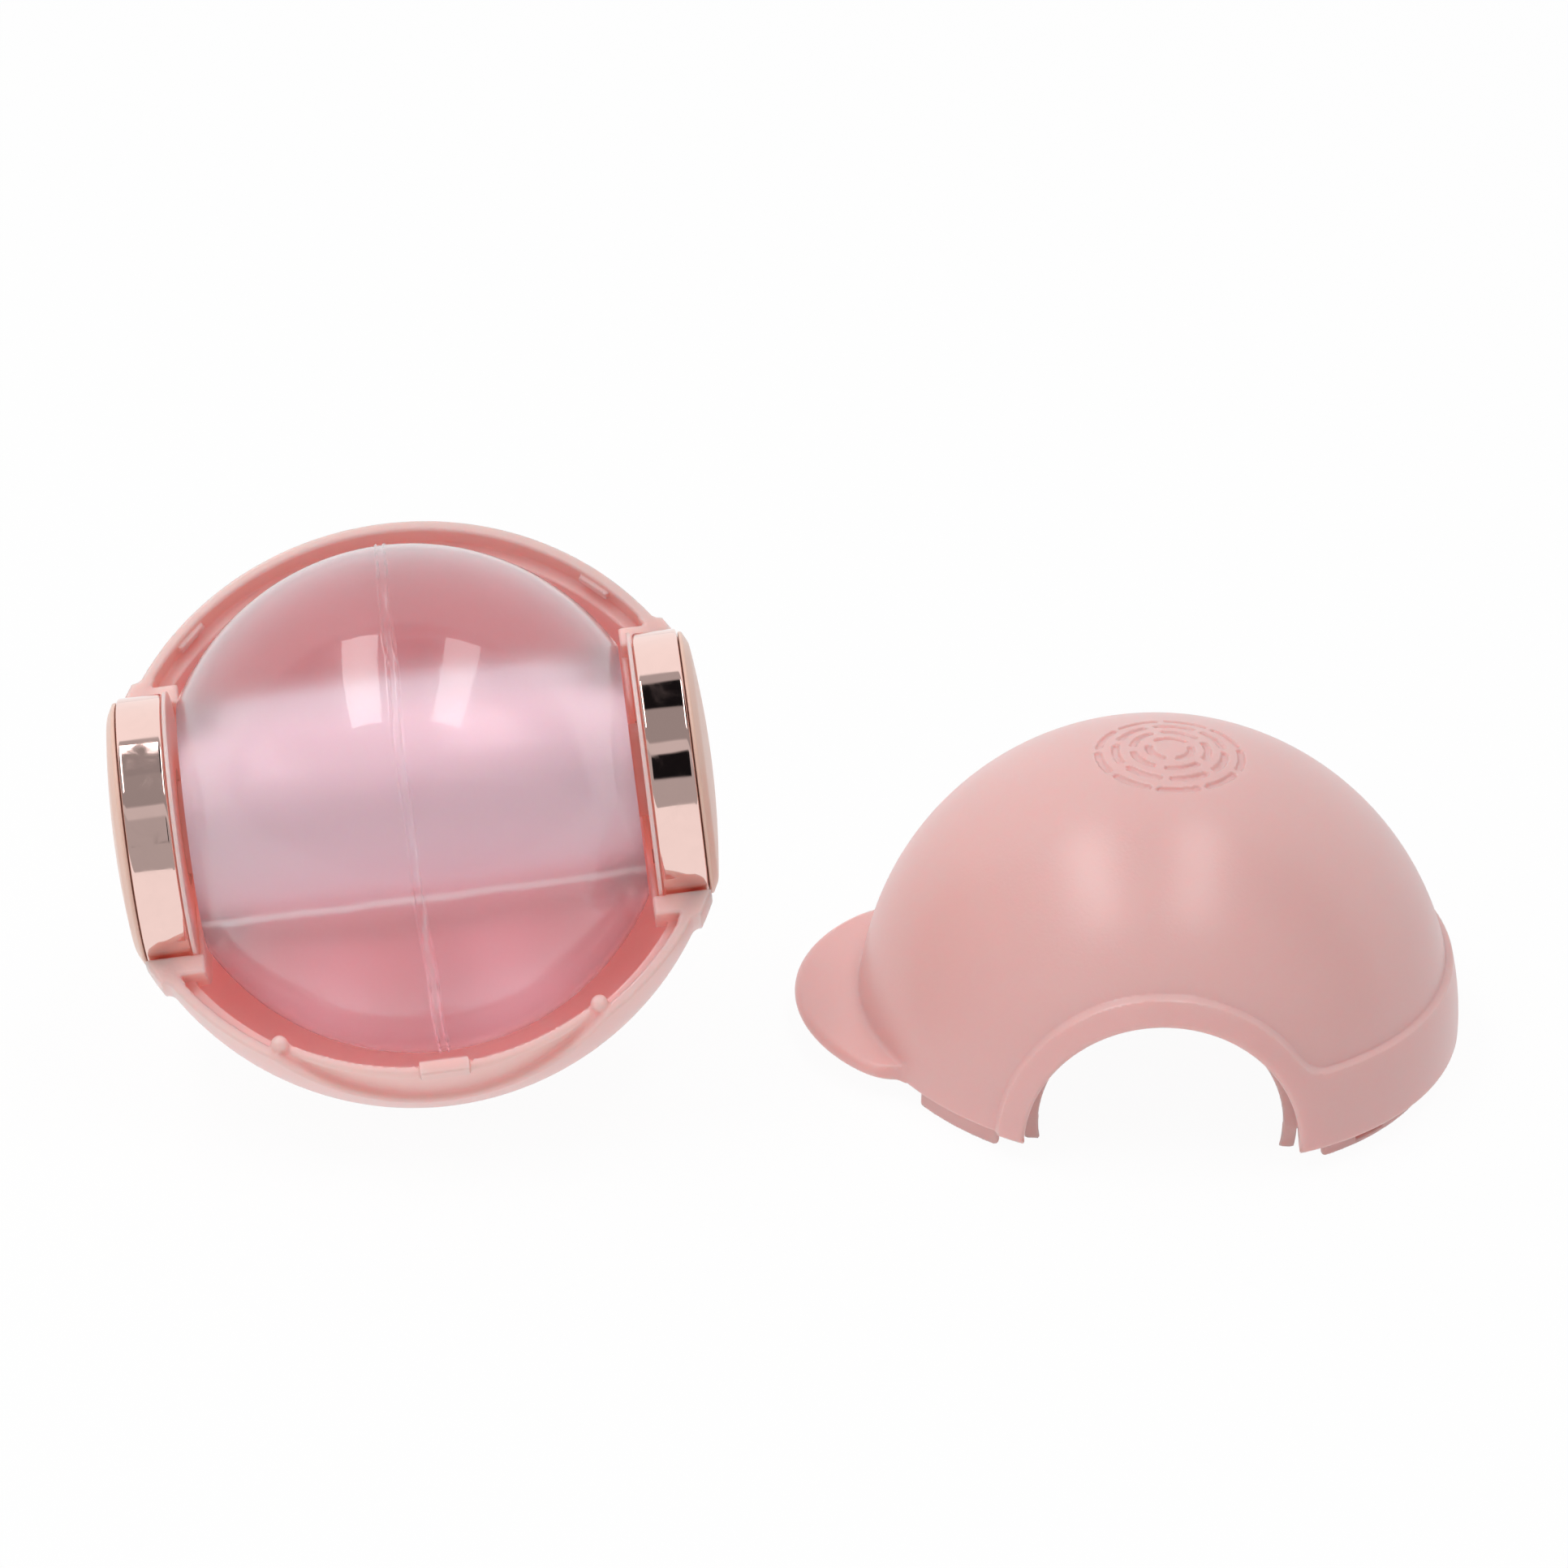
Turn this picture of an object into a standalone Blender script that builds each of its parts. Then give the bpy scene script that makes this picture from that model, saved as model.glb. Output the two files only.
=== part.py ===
"""Pocket lint ball: a washable gel roller that turns inside a ball-shaped case.

The lower half of the case carries the roller between two round side drums and lies
tipped over with its mouth towards the front.  The cap has been taken off and stands
beside it.  Both halves are modelled in the same ball frame: the centre of the ball is
the origin, x runs along the roller's axis, z points out of the mouth of the lower half
and -y is the front, where the cap has its thumb tab.
"""

from math import acos, asin, cos, pi, radians, sin, sqrt

import bmesh
import bpy
from mathutils import Euler, Matrix

MM = 0.001

# Driving dimensions of the case
DOME_RADIUS = 37.5 * MM          # outside of the cap's dome
BASE_STEP = 0.4 * MM             # how much larger the lower half's radius is
BAND_HEIGHT = 0.8 * MM           # how far the belt and the arches stand above the dome
CAP_WALL = 2.1 * MM
BASE_WALL = 2.9 * MM
RIM_LIP_WALL = 1.4 * MM          # outer lip of the lower half, outside the rebate
SKIRT_DEPTH = 2.8 * MM           # how far the cap's skirt hangs below its rim
SKIRT_WALL = 1.3 * MM
SKIRT_FIT = 0.3 * MM             # play between the skirt and the rebate
BELT_HEIGHT = 10.0 * MM          # height of the belt round the back of the cap
BELT_SLOPE = 0.6 * MM            # height of the belt's sloping upper edge
FRONT_HALF_ANGLE = radians(31.8)
LIP_OVERLAP = radians(1.0)       # the front lip runs this far into the full wall
NUB_OFFSET = radians(1.2)        # the nubs stand this far beyond the scoop
SKIRT_END_PLAY = radians(3.0)    # the skirt stops this far beyond the scoop

# Thumb tab and the scoop that lies under it
TAB_REACH = 8.0 * MM             # how far the tab stands out of the dome
TAB_HALF_WIDTH = 20.0 * MM
TAB_THICKNESS = 2.0 * MM
TAB_FOOT = 0.15 * MM             # height of the tab's underside over the cap's rim
TAB_FULLNESS = 0.78              # below 1 the tab's bell curve has broader shoulders
TAB_ROOT_SHARE = 0.9             # width of the tab's root over its full width
TAB_EDGE = ((0.0, 0.985), (0.22, 1.0), (0.72, 1.0), (1.0, 0.982))  # share of thickness, of plan
TAB_NUB_LENGTH = 3.6 * MM        # stop under each end of the tab
TAB_NUB_WIDTH = 2.0 * MM
TAB_NUB_DEPTH = 1.5 * MM
TAB_NUB_ANGLE = radians(24.5)
SCOOP_DEPTH = 7.0 * MM
SCOOP_LIP_WALL = 1.2 * MM
SCOOP_LIP_DROP = 0.9 * MM        # the front lip stops this far below the rim
NUB_RADIUS = 1.0 * MM
NUB_HEIGHT = 0.7 * MM

# Catches between the halves
FRONT_CATCH_LENGTH = 6.0 * MM
FRONT_CATCH_REACH = 0.3 * MM     # how far it stands out in front of the lip
FRONT_CATCH_PROUD = 0.4 * MM     # and inboard of it
FRONT_CATCH_HEIGHT = 1.8 * MM
BACK_CATCH_LENGTH = 4.3 * MM
BACK_CATCH_REACH = 0.7 * MM
BACK_CATCH_HEIGHT = 1.2 * MM
BACK_CATCH_ANGLE = radians(44.0)
CATCH_PLAY = 0.3 * MM
CATCH_SETBACK = 0.6 * MM         # the catches stop this far below the edge they sit on

# Side drums
DRUM_RADIUS = 16.6 * MM
DRUM_SETBACK = 8.6 * MM          # from the outside of the dome in to the drum's inner face
RING_WIDTH = 5.5 * MM
RING_WALL = 1.5 * MM
RING_CHAMFER = 0.45 * MM
DRUM_FIT = 0.25 * MM             # play between the drum and both arches
ARCH_WIDTH = 3.4 * MM            # width of the raised arch round each drum
SADDLE_WALL = 2.6 * MM           # pad between the drum and the rebate
DISC_CROWN = 2.2 * MM            # how far the cover disc stands out of the ring
DISC_CHAMFER = 1.5 * MM
DISC_STEP = 0.45 * MM            # the disc is this much smaller than the ring
DISC_WALL = 1.4 * MM
SPIGOT_DEPTH = 1.6 * MM
DISC_EDGE_SHARE = 0.2            # share of the crown that is the disc's straight edge
DISC_DOME_SHARE = 0.45           # share of the crown that is dome
DISC_ROWS = (0.66, 0.33)         # rings of facets on the dome, as shares of its radius
PRESS_GAP = 0.15 * MM            # gap left between faces that are pressed together

# Roller
GEL_PLAY = 3.8 * MM              # room between the gel and the inside of the lower half
ROLLER_END_PLAY = 1.8 * MM       # room between the roller's end and the drum
CORE_RADIUS = 12.0 * MM
CORE_WALL = 1.6 * MM
HUB_RADIUS = 5.7 * MM
HUB_PLUG_DEPTH = 6.0 * MM
RUNNING_FIT = 0.3 * MM

# Bearing plate, bush, washer and screws
PLATE_THICKNESS = 1.3 * MM
COLLAR_DEPTH = 2.6 * MM
COLLAR_WALL = 1.2 * MM
BUSH_WALL = 1.1 * MM
BUSH_LENGTH = 2.2 * MM
BUSH_FLANGE = 0.9 * MM
SADDLE_PLATE = 0.7 * MM          # wall of the lower half on the drum's inner side
PLATE_FLANGE = 0.5 * MM          # thickness of the plate's edge that covers the ring's inner face
FLANGE_PROUD = 0.2 * MM          # how far that edge stands out round the ring
FLANGE_LIP = 1.6 * MM            # the cap's lip inboard of the drum covers this much of it
WASHER_THICKNESS = 0.5 * MM
WASHER_RADIUS = 6.4 * MM
AXLE_SCREW_HEAD = 3.0 * MM
AXLE_SCREW_HEAD_HEIGHT = 1.2 * MM
AXLE_SCREW_SHANK = 1.3 * MM
AXLE_SCREW_LENGTH = 7.0 * MM
PLATE_SCREW_ANGLE = radians(38.0)
PLATE_SCREW_HEAD = 1.9 * MM
PLATE_SCREW_HEAD_HEIGHT = 0.9 * MM
PLATE_SCREW_SHANK = 0.9 * MM
HEAD_SIDE_SHARE = 0.5            # share of a screw head's height that is straight
HEAD_TOP_SHARE = 0.65            # radius of its flat top over its own radius

# How the two halves lie on the table
APART_X = 93.0 * MM              # from the ball centre of the lower half to that of the cap
APART_Y = 15.3 * MM
BASE_TURN = Euler((radians(36.9), radians(-7.5), radians(5.5)), "XYZ")
CAP_TURN = radians(-90.0)

# Facets
RING_STEPS = 44
ARC_STEPS = 10
DRUM_STEPS = 24
SMALL_STEPS = 12
LIP_STEPS = 16
BELT_STEPS = 22
BELT_ROWS = 4
FLUSH = 0.02 * MM                # how far joined solids reach into each other
WELD = 0.001 * MM                # corners closer than this are one corner
REACH = 2.0 * DOME_RADIUS        # how far a cutter runs to reach outside
OVERSHOOT = 1.3 * MM             # rims are made this much too high and then levelled
BELT_TRIM = radians(8.0)         # the belt ends inside both arches

BAND_RADIUS = DOME_RADIUS + BAND_HEIGHT
BASE_RADIUS = DOME_RADIUS + BASE_STEP
BASE_INNER = BASE_RADIUS - BASE_WALL
DRUM_INNER = DOME_RADIUS - DRUM_SETBACK
GEL_RADIUS = BASE_INNER - GEL_PLAY
ROLLER_HALF_LENGTH = DRUM_INNER - ROLLER_END_PLAY
CAP_INNER = DOME_RADIUS - CAP_WALL
REBATE_RADIUS = BASE_RADIUS - RIM_LIP_WALL
REBATE_DEPTH = SKIRT_DEPTH + SKIRT_FIT
SADDLE_DROP = REBATE_DEPTH
LIP_OUTER = BASE_INNER + SCOOP_LIP_WALL
SKIRT_OUTER = REBATE_RADIUS - SKIRT_FIT
SKIRT_INNER = SKIRT_OUTER - SKIRT_WALL
NOTCH_RADIUS = DRUM_RADIUS + DRUM_FIT
ARCH_RADIUS = NOTCH_RADIUS + ARCH_WIDTH
DRUM_OUTER = DRUM_INNER + RING_WIDTH
RING_BORE = DRUM_RADIUS - RING_WALL
PLATE_INNER = DRUM_INNER - PRESS_GAP - PLATE_FLANGE
SADDLE_INNER = PLATE_INNER - PRESS_GAP - SADDLE_PLATE
BUSH_BORE = HUB_RADIUS + RUNNING_FIT
BUSH_OUTER = BUSH_BORE + BUSH_WALL
HUB_END = DRUM_INNER + BUSH_LENGTH + RUNNING_FIT
FLANGE_RADIUS = DRUM_RADIUS - FLANGE_LIP
BACK_CATCH_MIDDLE = -CATCH_SETBACK - BACK_CATCH_HEIGHT / 2
PLATE_SCREW_RADIUS = (BUSH_OUTER + RING_BORE) / 2   # pitch radius of the two screws in each plate


def clear_scene():
    for item in list(bpy.data.objects):
        bpy.data.objects.remove(item, do_unlink=True)


def material(name, colour, roughness, metallic=0.0, transmission=0.0):
    """A Principled BSDF with the part's own colour and finish."""
    made = bpy.data.materials.new(name)
    made.use_nodes = True
    shader = made.node_tree.nodes["Principled BSDF"]
    shader.inputs["Base Color"].default_value = (*colour, 1.0)
    shader.inputs["Roughness"].default_value = roughness
    shader.inputs["Metallic"].default_value = metallic
    shader.inputs["Transmission Weight"].default_value = transmission
    return made


def new_object(name, mesh):
    item = bpy.data.objects.new(name, mesh)
    bpy.context.scene.collection.objects.link(item)
    return item


def finish_mesh(name, work):
    """Close up a bmesh: one clean surface with its faces pointing out."""
    bmesh.ops.remove_doubles(work, verts=work.verts, dist=1e-7)
    bmesh.ops.recalc_face_normals(work, faces=work.faces)
    mesh = bpy.data.meshes.new(name)
    work.to_mesh(mesh)
    work.free()
    return mesh


def lathe(name, profile, steps, along="Z", sweep=2.0 * pi, start=0.0):
    """Turn a closed outline of (radius, height) points round an axis."""
    work = bmesh.new()
    whole = sweep > 2.0 * pi - 1e-6
    count = steps if whole else steps + 1
    rings = []
    for radius, height in profile:
        if radius < 1e-9:
            rings.append([work.verts.new((0.0, 0.0, height))])
            continue
        angles = [start + sweep * index / steps for index in range(count)]
        rings.append([work.verts.new((radius * cos(a), radius * sin(a), height)) for a in angles])
    for here, there in zip(rings, rings[1:] + rings[:1]):
        for index in range(steps):
            after = (index + 1) % count
            corners = [here[index % len(here)], here[after % len(here)],
                       there[after % len(there)], there[index % len(there)]]
            unique = list(dict.fromkeys(corners))
            if len(unique) > 2:
                work.faces.new(unique)
    if not whole:
        work.faces.new([ring[0] for ring in rings])
        work.faces.new([ring[-1] for ring in rings])
    if along == "X":
        bmesh.ops.rotate(work, verts=work.verts, matrix=Matrix.Rotation(pi / 2.0, 3, "Y"))
    if along == "Y":
        bmesh.ops.rotate(work, verts=work.verts, matrix=Matrix.Rotation(-pi / 2.0, 3, "X"))
    return new_object(name, finish_mesh(name, work))


def arc(radius, first, last, steps):
    """Points on a circle in the (radius, height) plane, angles from the equator."""
    spread = [first + (last - first) * index / steps for index in range(steps + 1)]
    return [(radius * cos(angle) if abs(angle) < pi / 2.0 - 1e-9 else 0.0, radius * sin(angle))
            for angle in spread]


def ball(name, radius):
    return lathe(name, arc(radius, -pi / 2.0, pi / 2.0, 2 * ARC_STEPS - 1), RING_STEPS)


def tube(name, inner, outer, low, high, steps=RING_STEPS, along="X"):
    """A pipe between two stations on an axis; a rod where the inner radius is zero."""
    profile = [(outer, low), (outer, high), (inner, high), (inner, low)]
    return lathe(name, profile, steps, along, 2.0 * pi, pi / steps)


def block(name, size, centre, turn=0.0):
    """A box, turned about the z axis of the ball frame."""
    work = bmesh.new()
    bmesh.ops.create_cube(work, size=1.0)
    place = Matrix.Rotation(turn, 4, "Z") @ Matrix.Translation(centre) @ Matrix.Diagonal((*size, 1.0))
    bmesh.ops.transform(work, matrix=place, verts=work.verts)
    return new_object(name, finish_mesh(name, work))


def weld(mesh):
    """Close the slivers that cutting leaves."""
    work = bmesh.new()
    work.from_mesh(mesh)
    bmesh.ops.remove_doubles(work, verts=work.verts, dist=WELD)
    bmesh.ops.dissolve_degenerate(work, dist=WELD, edges=work.edges)
    work.to_mesh(mesh)
    work.free()


def combine(target, tool, operation):
    """Join, cut or intersect two solids and keep only the first object."""
    modifier = target.modifiers.new(operation.title(), "BOOLEAN")
    modifier.operation = operation
    modifier.solver = "EXACT"
    modifier.object = tool
    bpy.context.view_layer.update()
    graph = bpy.context.evaluated_depsgraph_get()
    result = bpy.data.meshes.new_from_object(target.evaluated_get(graph))
    target.modifiers.clear()
    old = target.data
    target.data = result
    result.name = target.name
    bpy.data.meshes.remove(old)
    bpy.data.objects.remove(tool, do_unlink=True)
    weld(target.data)
    return target


def union(target, tool):
    return combine(target, tool, "UNION")


def cut(target, tool):
    return combine(target, tool, "DIFFERENCE")


def common(target, tool):
    return combine(target, tool, "INTERSECT")


def tidy(item):
    """Shade the round faces smooth and keep the edges sharp."""
    item.data.shade_smooth()
    item.data.set_sharp_from_angle(angle=radians(32.0))
    return item


def above(bottom, name="above"):
    """Everything of the ball frame over a height, as a block."""
    return block(name, (2 * REACH, 2 * REACH, REACH), (0, 0, bottom + REACH / 2))


def rod(name, radius, side, station, steps=RING_STEPS):
    """A bar on the roller's axis that runs outwards from a station on one side."""
    low, high = sorted((side * station, side * REACH))
    return tube(name, 0.0, radius, low, high, steps)


def arch(side, shell_inner, shell_outer, bottom, top):
    """A raised arch that follows the ball round one drum, still without its hole."""
    made = rod("arch", ARCH_RADIUS, side, SADDLE_INNER)
    common(made, ball("arch_outside", shell_outer))
    cut(made, ball("arch_inside", shell_inner))
    return common(made, block("arch_part", (2 * REACH, 2 * REACH, top - bottom), (0, 0, (top + bottom) / 2)))


def base_bowl():
    """The turned bowl with the stepped rim; it overshoots the rim until it is levelled."""
    over = asin(OVERSHOOT / BASE_RADIUS)
    ledge_angle = asin(REBATE_DEPTH / BASE_INNER)
    profile = arc(BASE_RADIUS, -pi / 2.0, over, ARC_STEPS)
    profile += [(REBATE_RADIUS, OVERSHOOT), (REBATE_RADIUS, -REBATE_DEPTH)]
    profile += arc(BASE_INNER, -ledge_angle, -pi / 2.0, ARC_STEPS)
    return lathe("base_shell", profile, RING_STEPS)


def saddle(side):
    """The seat of one drum, still solid: the drum and the hub are cut out of it later."""
    seat = rod("seat", NOTCH_RADIUS + SADDLE_WALL, side, SADDLE_INNER)
    common(seat, ball("seat_outside", BASE_RADIUS + BAND_HEIGHT / 2))
    return common(seat, block("seat_part", (2 * REACH, 2 * REACH, REACH), (0, 0, OVERSHOOT - REACH / 2)))


def open_saddle(shell, side):
    """Cut the drum's seat, and the slot and the low top of the wall inboard of it."""
    face = SADDLE_INNER + SADDLE_PLATE
    cut(shell, rod("drum_hole", NOTCH_RADIUS, side, face))
    size = (2 * SADDLE_PLATE + 4 * FLUSH, 2 * (NOTCH_RADIUS - FLUSH), REACH)
    cut(shell, block("wall_top", size, (side * face, 0, REACH / 2 - SADDLE_DROP)))
    low, high = sorted((side * (SADDLE_INNER - MM), side * (face + MM)))
    cut(shell, tube("slot", 0.0, HUB_RADIUS + 2 * RUNNING_FIT, low, high, DRUM_STEPS))
    for _, y, z in plate_screw_spots():
        hole = tube("hole", 0.0, PLATE_SCREW_SHANK + PRESS_GAP, low, high, SMALL_STEPS)
        cut(shell, moved(hole, y, z))


def scoop_tool():
    """Cutter for the thumb scoop: a long round bar that leaves the inner lip standing."""
    half_width = BASE_RADIUS * sin(FRONT_HALF_ANGLE)
    radius = (half_width ** 2 + SCOOP_DEPTH ** 2) / (2 * SCOOP_DEPTH)
    tool = tube("scoop", 0.0, radius, -REACH, -REACH / 4, RING_STEPS, "Y")
    for vertex in tool.data.vertices:
        vertex.co.z += radius - SCOOP_DEPTH
    guard = tube("lip_guard", 0.0, LIP_OUTER + 2 * FLUSH, -REACH, 2 * REACH, RING_STEPS, "Z")
    return cut(tool, guard)


def front_lip():
    """The thin lip behind the scoop, which carries the front catch."""
    foot = -REBATE_DEPTH - BASE_WALL / 2
    profile = [(LIP_OUTER, foot), (LIP_OUTER, -SCOOP_LIP_DROP), (BASE_INNER, -SCOOP_LIP_DROP)]
    profile += [(BASE_INNER, -REBATE_DEPTH), (BASE_INNER + SCOOP_LIP_WALL / 2, foot)]
    sweep = 2.0 * (FRONT_HALF_ANGLE + LIP_OVERLAP)
    return lathe("front_lip", profile, LIP_STEPS, "Z", sweep, -pi / 2.0 - sweep / 2.0)


def nub(angle):
    """A rounded post that closes the end of the rebate."""
    middle = (REBATE_RADIUS + BASE_INNER) / 2
    foot = -REBATE_DEPTH - NUB_RADIUS
    shoulder = NUB_HEIGHT - NUB_RADIUS
    profile = [(0.0, foot), (NUB_RADIUS, foot), (NUB_RADIUS, shoulder)]
    profile += [(NUB_RADIUS * cos(a), shoulder + NUB_RADIUS * sin(a)) for a in (pi / 6, pi / 3)]
    profile += [(0.0, NUB_HEIGHT)]
    made = lathe("nub", profile, SMALL_STEPS)
    for vertex in made.data.vertices:
        vertex.co.x += middle * cos(angle)
        vertex.co.y += middle * sin(angle)
    return made


def build_base_shell(paint):
    shell = base_bowl()
    for side in (-1, 1):
        inside, outside = BASE_RADIUS - BASE_WALL / 2, BASE_RADIUS + BAND_HEIGHT
        union(shell, arch(side, inside, outside, -REACH, OVERSHOOT))
        union(shell, saddle(side))
    union(shell, front_lip())
    cut(shell, scoop_tool())
    cut(shell, above(0.0, "level"))
    for side in (-1, 1):
        open_saddle(shell, side)
        union(shell, nub(-pi / 2 + side * (FRONT_HALF_ANGLE + NUB_OFFSET)))
    inboard, outboard = BASE_INNER - FRONT_CATCH_PROUD, LIP_OUTER + FRONT_CATCH_REACH
    centre = (0, -(inboard + outboard) / 2, -FLUSH - FRONT_CATCH_HEIGHT / 2)
    size = (FRONT_CATCH_LENGTH, outboard - inboard, FRONT_CATCH_HEIGHT)
    union(shell, block("front_catch", size, centre))
    centre = (0, REBATE_RADIUS - BACK_CATCH_REACH / 2 + RIM_LIP_WALL / 4, BACK_CATCH_MIDDLE)
    size = (BACK_CATCH_LENGTH, BACK_CATCH_REACH + RIM_LIP_WALL / 2, BACK_CATCH_HEIGHT)
    for side in (-1, 1):
        union(shell, block("back_catch", size, centre, side * BACK_CATCH_ANGLE))
    shell.data.materials.clear()
    shell.data.materials.append(paint)
    return tidy(shell)


def cap_dome():
    """The turned dome with the skirt that hangs inside the lower half's rim."""
    over = asin(OVERSHOOT / DOME_RADIUS)
    profile = arc(DOME_RADIUS, pi / 2.0, -over, ARC_STEPS)
    profile += [(SKIRT_OUTER, -OVERSHOOT), (SKIRT_OUTER, -SKIRT_DEPTH), (SKIRT_INNER, -SKIRT_DEPTH)]
    profile += arc(CAP_INNER, asin(SKIRT_WALL / CAP_INNER), pi / 2.0, ARC_STEPS)
    return lathe("cap_shell", profile, RING_STEPS)


def belt():
    """The raised belt round the back, with a soft upper edge."""
    inner = (DOME_RADIUS + CAP_INNER) / 2
    low = -asin(OVERSHOOT / BAND_RADIUS)
    top = asin(BELT_HEIGHT / BAND_RADIUS)
    buried = asin((BELT_HEIGHT + BELT_SLOPE) / inner)
    profile = arc(BAND_RADIUS, low, top, BELT_ROWS)
    profile += list(reversed(arc(inner, low, buried, BELT_ROWS)))
    return lathe("belt", profile, BELT_STEPS, "Z", pi - 2 * BELT_TRIM, BELT_TRIM)


def tab_outline(steps):
    """Plan of the thumb tab: a bell curve across the front of the dome."""
    crest = DOME_RADIUS + TAB_REACH
    root = DOME_RADIUS - CAP_WALL
    points = []
    for index in range(steps + 1):
        share = cos(pi * index / steps)
        bulge = (1.0 - share * share) ** TAB_FULLNESS
        points.append((TAB_HALF_WIDTH * share, -(root + (crest - root) * bulge)))
    return points


def thumb_tab():
    """The tab as a plate with rounded edges, merged into the front of the dome."""
    work = bmesh.new()
    outline = tab_outline(BELT_STEPS)
    corner = TAB_HALF_WIDTH * TAB_ROOT_SHARE
    depth = -sqrt((DOME_RADIUS - CAP_WALL) ** 2 - corner ** 2)
    loops = []
    for share, reach in TAB_EDGE:
        height = TAB_THICKNESS * share + TAB_FOOT
        loop = [work.verts.new((x * reach, y * reach, height)) for x, y in outline]
        loop += [work.verts.new((-corner, depth, height)), work.verts.new((corner, depth, height))]
        loops.append(loop)
    for lower, upper in zip(loops, loops[1:]):
        for index in range(len(lower)):
            after = (index + 1) % len(lower)
            work.faces.new((lower[index], lower[after], upper[after], upper[index]))
    work.faces.new(loops[0])
    work.faces.new(loops[-1])
    tab = new_object("tab", finish_mesh("tab", work))
    return cut(tab, ball("tab_inside", DOME_RADIUS - CAP_WALL / 2))


def tab_nub(side):
    """Rounded stop that hangs below the rim under one end of the tab."""
    made = lathe("tab_nub", arc(1.0, -pi / 2.0, pi / 2.0, 8), SMALL_STEPS)
    centre = Matrix.Translation((0.0, -(SKIRT_OUTER + TAB_NUB_WIDTH / 4), 0.0))
    place = Matrix.Rotation(side * TAB_NUB_ANGLE, 4, "Z") @ centre
    size = Matrix.Diagonal((TAB_NUB_LENGTH / 2, TAB_NUB_WIDTH / 2, TAB_NUB_DEPTH, 1.0))
    made.data.transform(place @ size)
    return made


def front_gap_tool():
    """Cutter that takes the skirt away across the front, behind the tab."""
    profile = [(SKIRT_INNER - MM, -SKIRT_DEPTH - MM), (SKIRT_OUTER + MM, -SKIRT_DEPTH - MM)]
    profile += [(SKIRT_OUTER + MM, -FLUSH), (SKIRT_INNER - MM, -FLUSH)]
    sweep = 2.0 * (FRONT_HALF_ANGLE + SKIRT_END_PLAY)
    return lathe("front_gap", profile, LIP_STEPS, "Z", sweep, -pi / 2.0 - sweep / 2.0)


def cap_saddle(side):
    """The wall that follows the notch inside the cap, still solid."""
    seat = rod("seat", NOTCH_RADIUS + SADDLE_WALL / 2, side, SADDLE_INNER)
    common(seat, ball("seat_outside", DOME_RADIUS - CAP_WALL / 3))
    return common(seat, above(-OVERSHOOT / 2))


def flange(side):
    """The lip on the drum's inner side, which reaches down as far as the skirt."""
    low, high = sorted((side * SADDLE_INNER, side * (SADDLE_INNER + SADDLE_PLATE)))
    plate = tube("flange", 0.0, NOTCH_RADIUS - SKIRT_FIT, low, high)
    return common(plate, above(-SKIRT_DEPTH))


def build_cap_shell(paint):
    shell = cap_dome()
    union(shell, belt())
    for side in (-1, 1):
        union(shell, arch(side, DOME_RADIUS - CAP_WALL / 2, BAND_RADIUS, -OVERSHOOT, REACH))
        union(shell, cap_saddle(side))
    rim_tool = tube("rim_level", SKIRT_OUTER + 2 * FLUSH, REACH, -REACH, 0.0, RING_STEPS, "Z")
    cut(shell, rim_tool)
    cut(shell, front_gap_tool())
    pad_width = 2 * (NOTCH_RADIUS + SADDLE_WALL + SKIRT_FIT)
    cut(shell, block("pad_room", (2 * REACH, pad_width, REACH), (0, 0, -REACH / 2 + FLUSH / 2)))
    for side in (-1, 1):
        union(shell, flange(side))
        cut(shell, rod("drum_hole", NOTCH_RADIUS, side, SADDLE_INNER + SADDLE_PLATE))
        cut(shell, rod("hub_hole", FLANGE_RADIUS, side, DOME_RADIUS / 2))
    union(shell, thumb_tab())
    for side in (-1, 1):
        union(shell, tab_nub(side))
    size = (BACK_CATCH_LENGTH + 2 * CATCH_PLAY, 3 * SKIRT_WALL, BACK_CATCH_HEIGHT + 2 * CATCH_PLAY)
    for side in (-1, 1):
        centre = (0, SKIRT_OUTER, BACK_CATCH_MIDDLE)
        cut(shell, block("catch_window", size, centre, side * BACK_CATCH_ANGLE))
    shell.data.materials.clear()
    shell.data.materials.append(paint)
    return tidy(shell)


def side_name(side):
    return "right" if side > 0 else "left"


def turned(name, profile, side, paint, steps):
    """A round piece on the roller's axis; its outline is written for the right side."""
    outline = [(radius, side * station) for radius, station in profile]
    made = lathe(name, outline, steps, "X")
    made.data.materials.append(paint)
    made.data.shade_smooth()
    made.data.set_sharp_from_angle(angle=radians(32.0))
    return made


def build_drum_ring(side, paint):
    chamfer = RING_CHAMFER
    profile = [(RING_BORE, DRUM_INNER), (DRUM_RADIUS - chamfer, DRUM_INNER)]
    profile += [(DRUM_RADIUS, DRUM_INNER + chamfer), (DRUM_RADIUS, DRUM_OUTER - chamfer)]
    profile += [(DRUM_RADIUS - chamfer, DRUM_OUTER), (RING_BORE, DRUM_OUTER)]
    return turned(side_name(side) + "_drum_ring", profile, side, paint, RING_STEPS)


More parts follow.
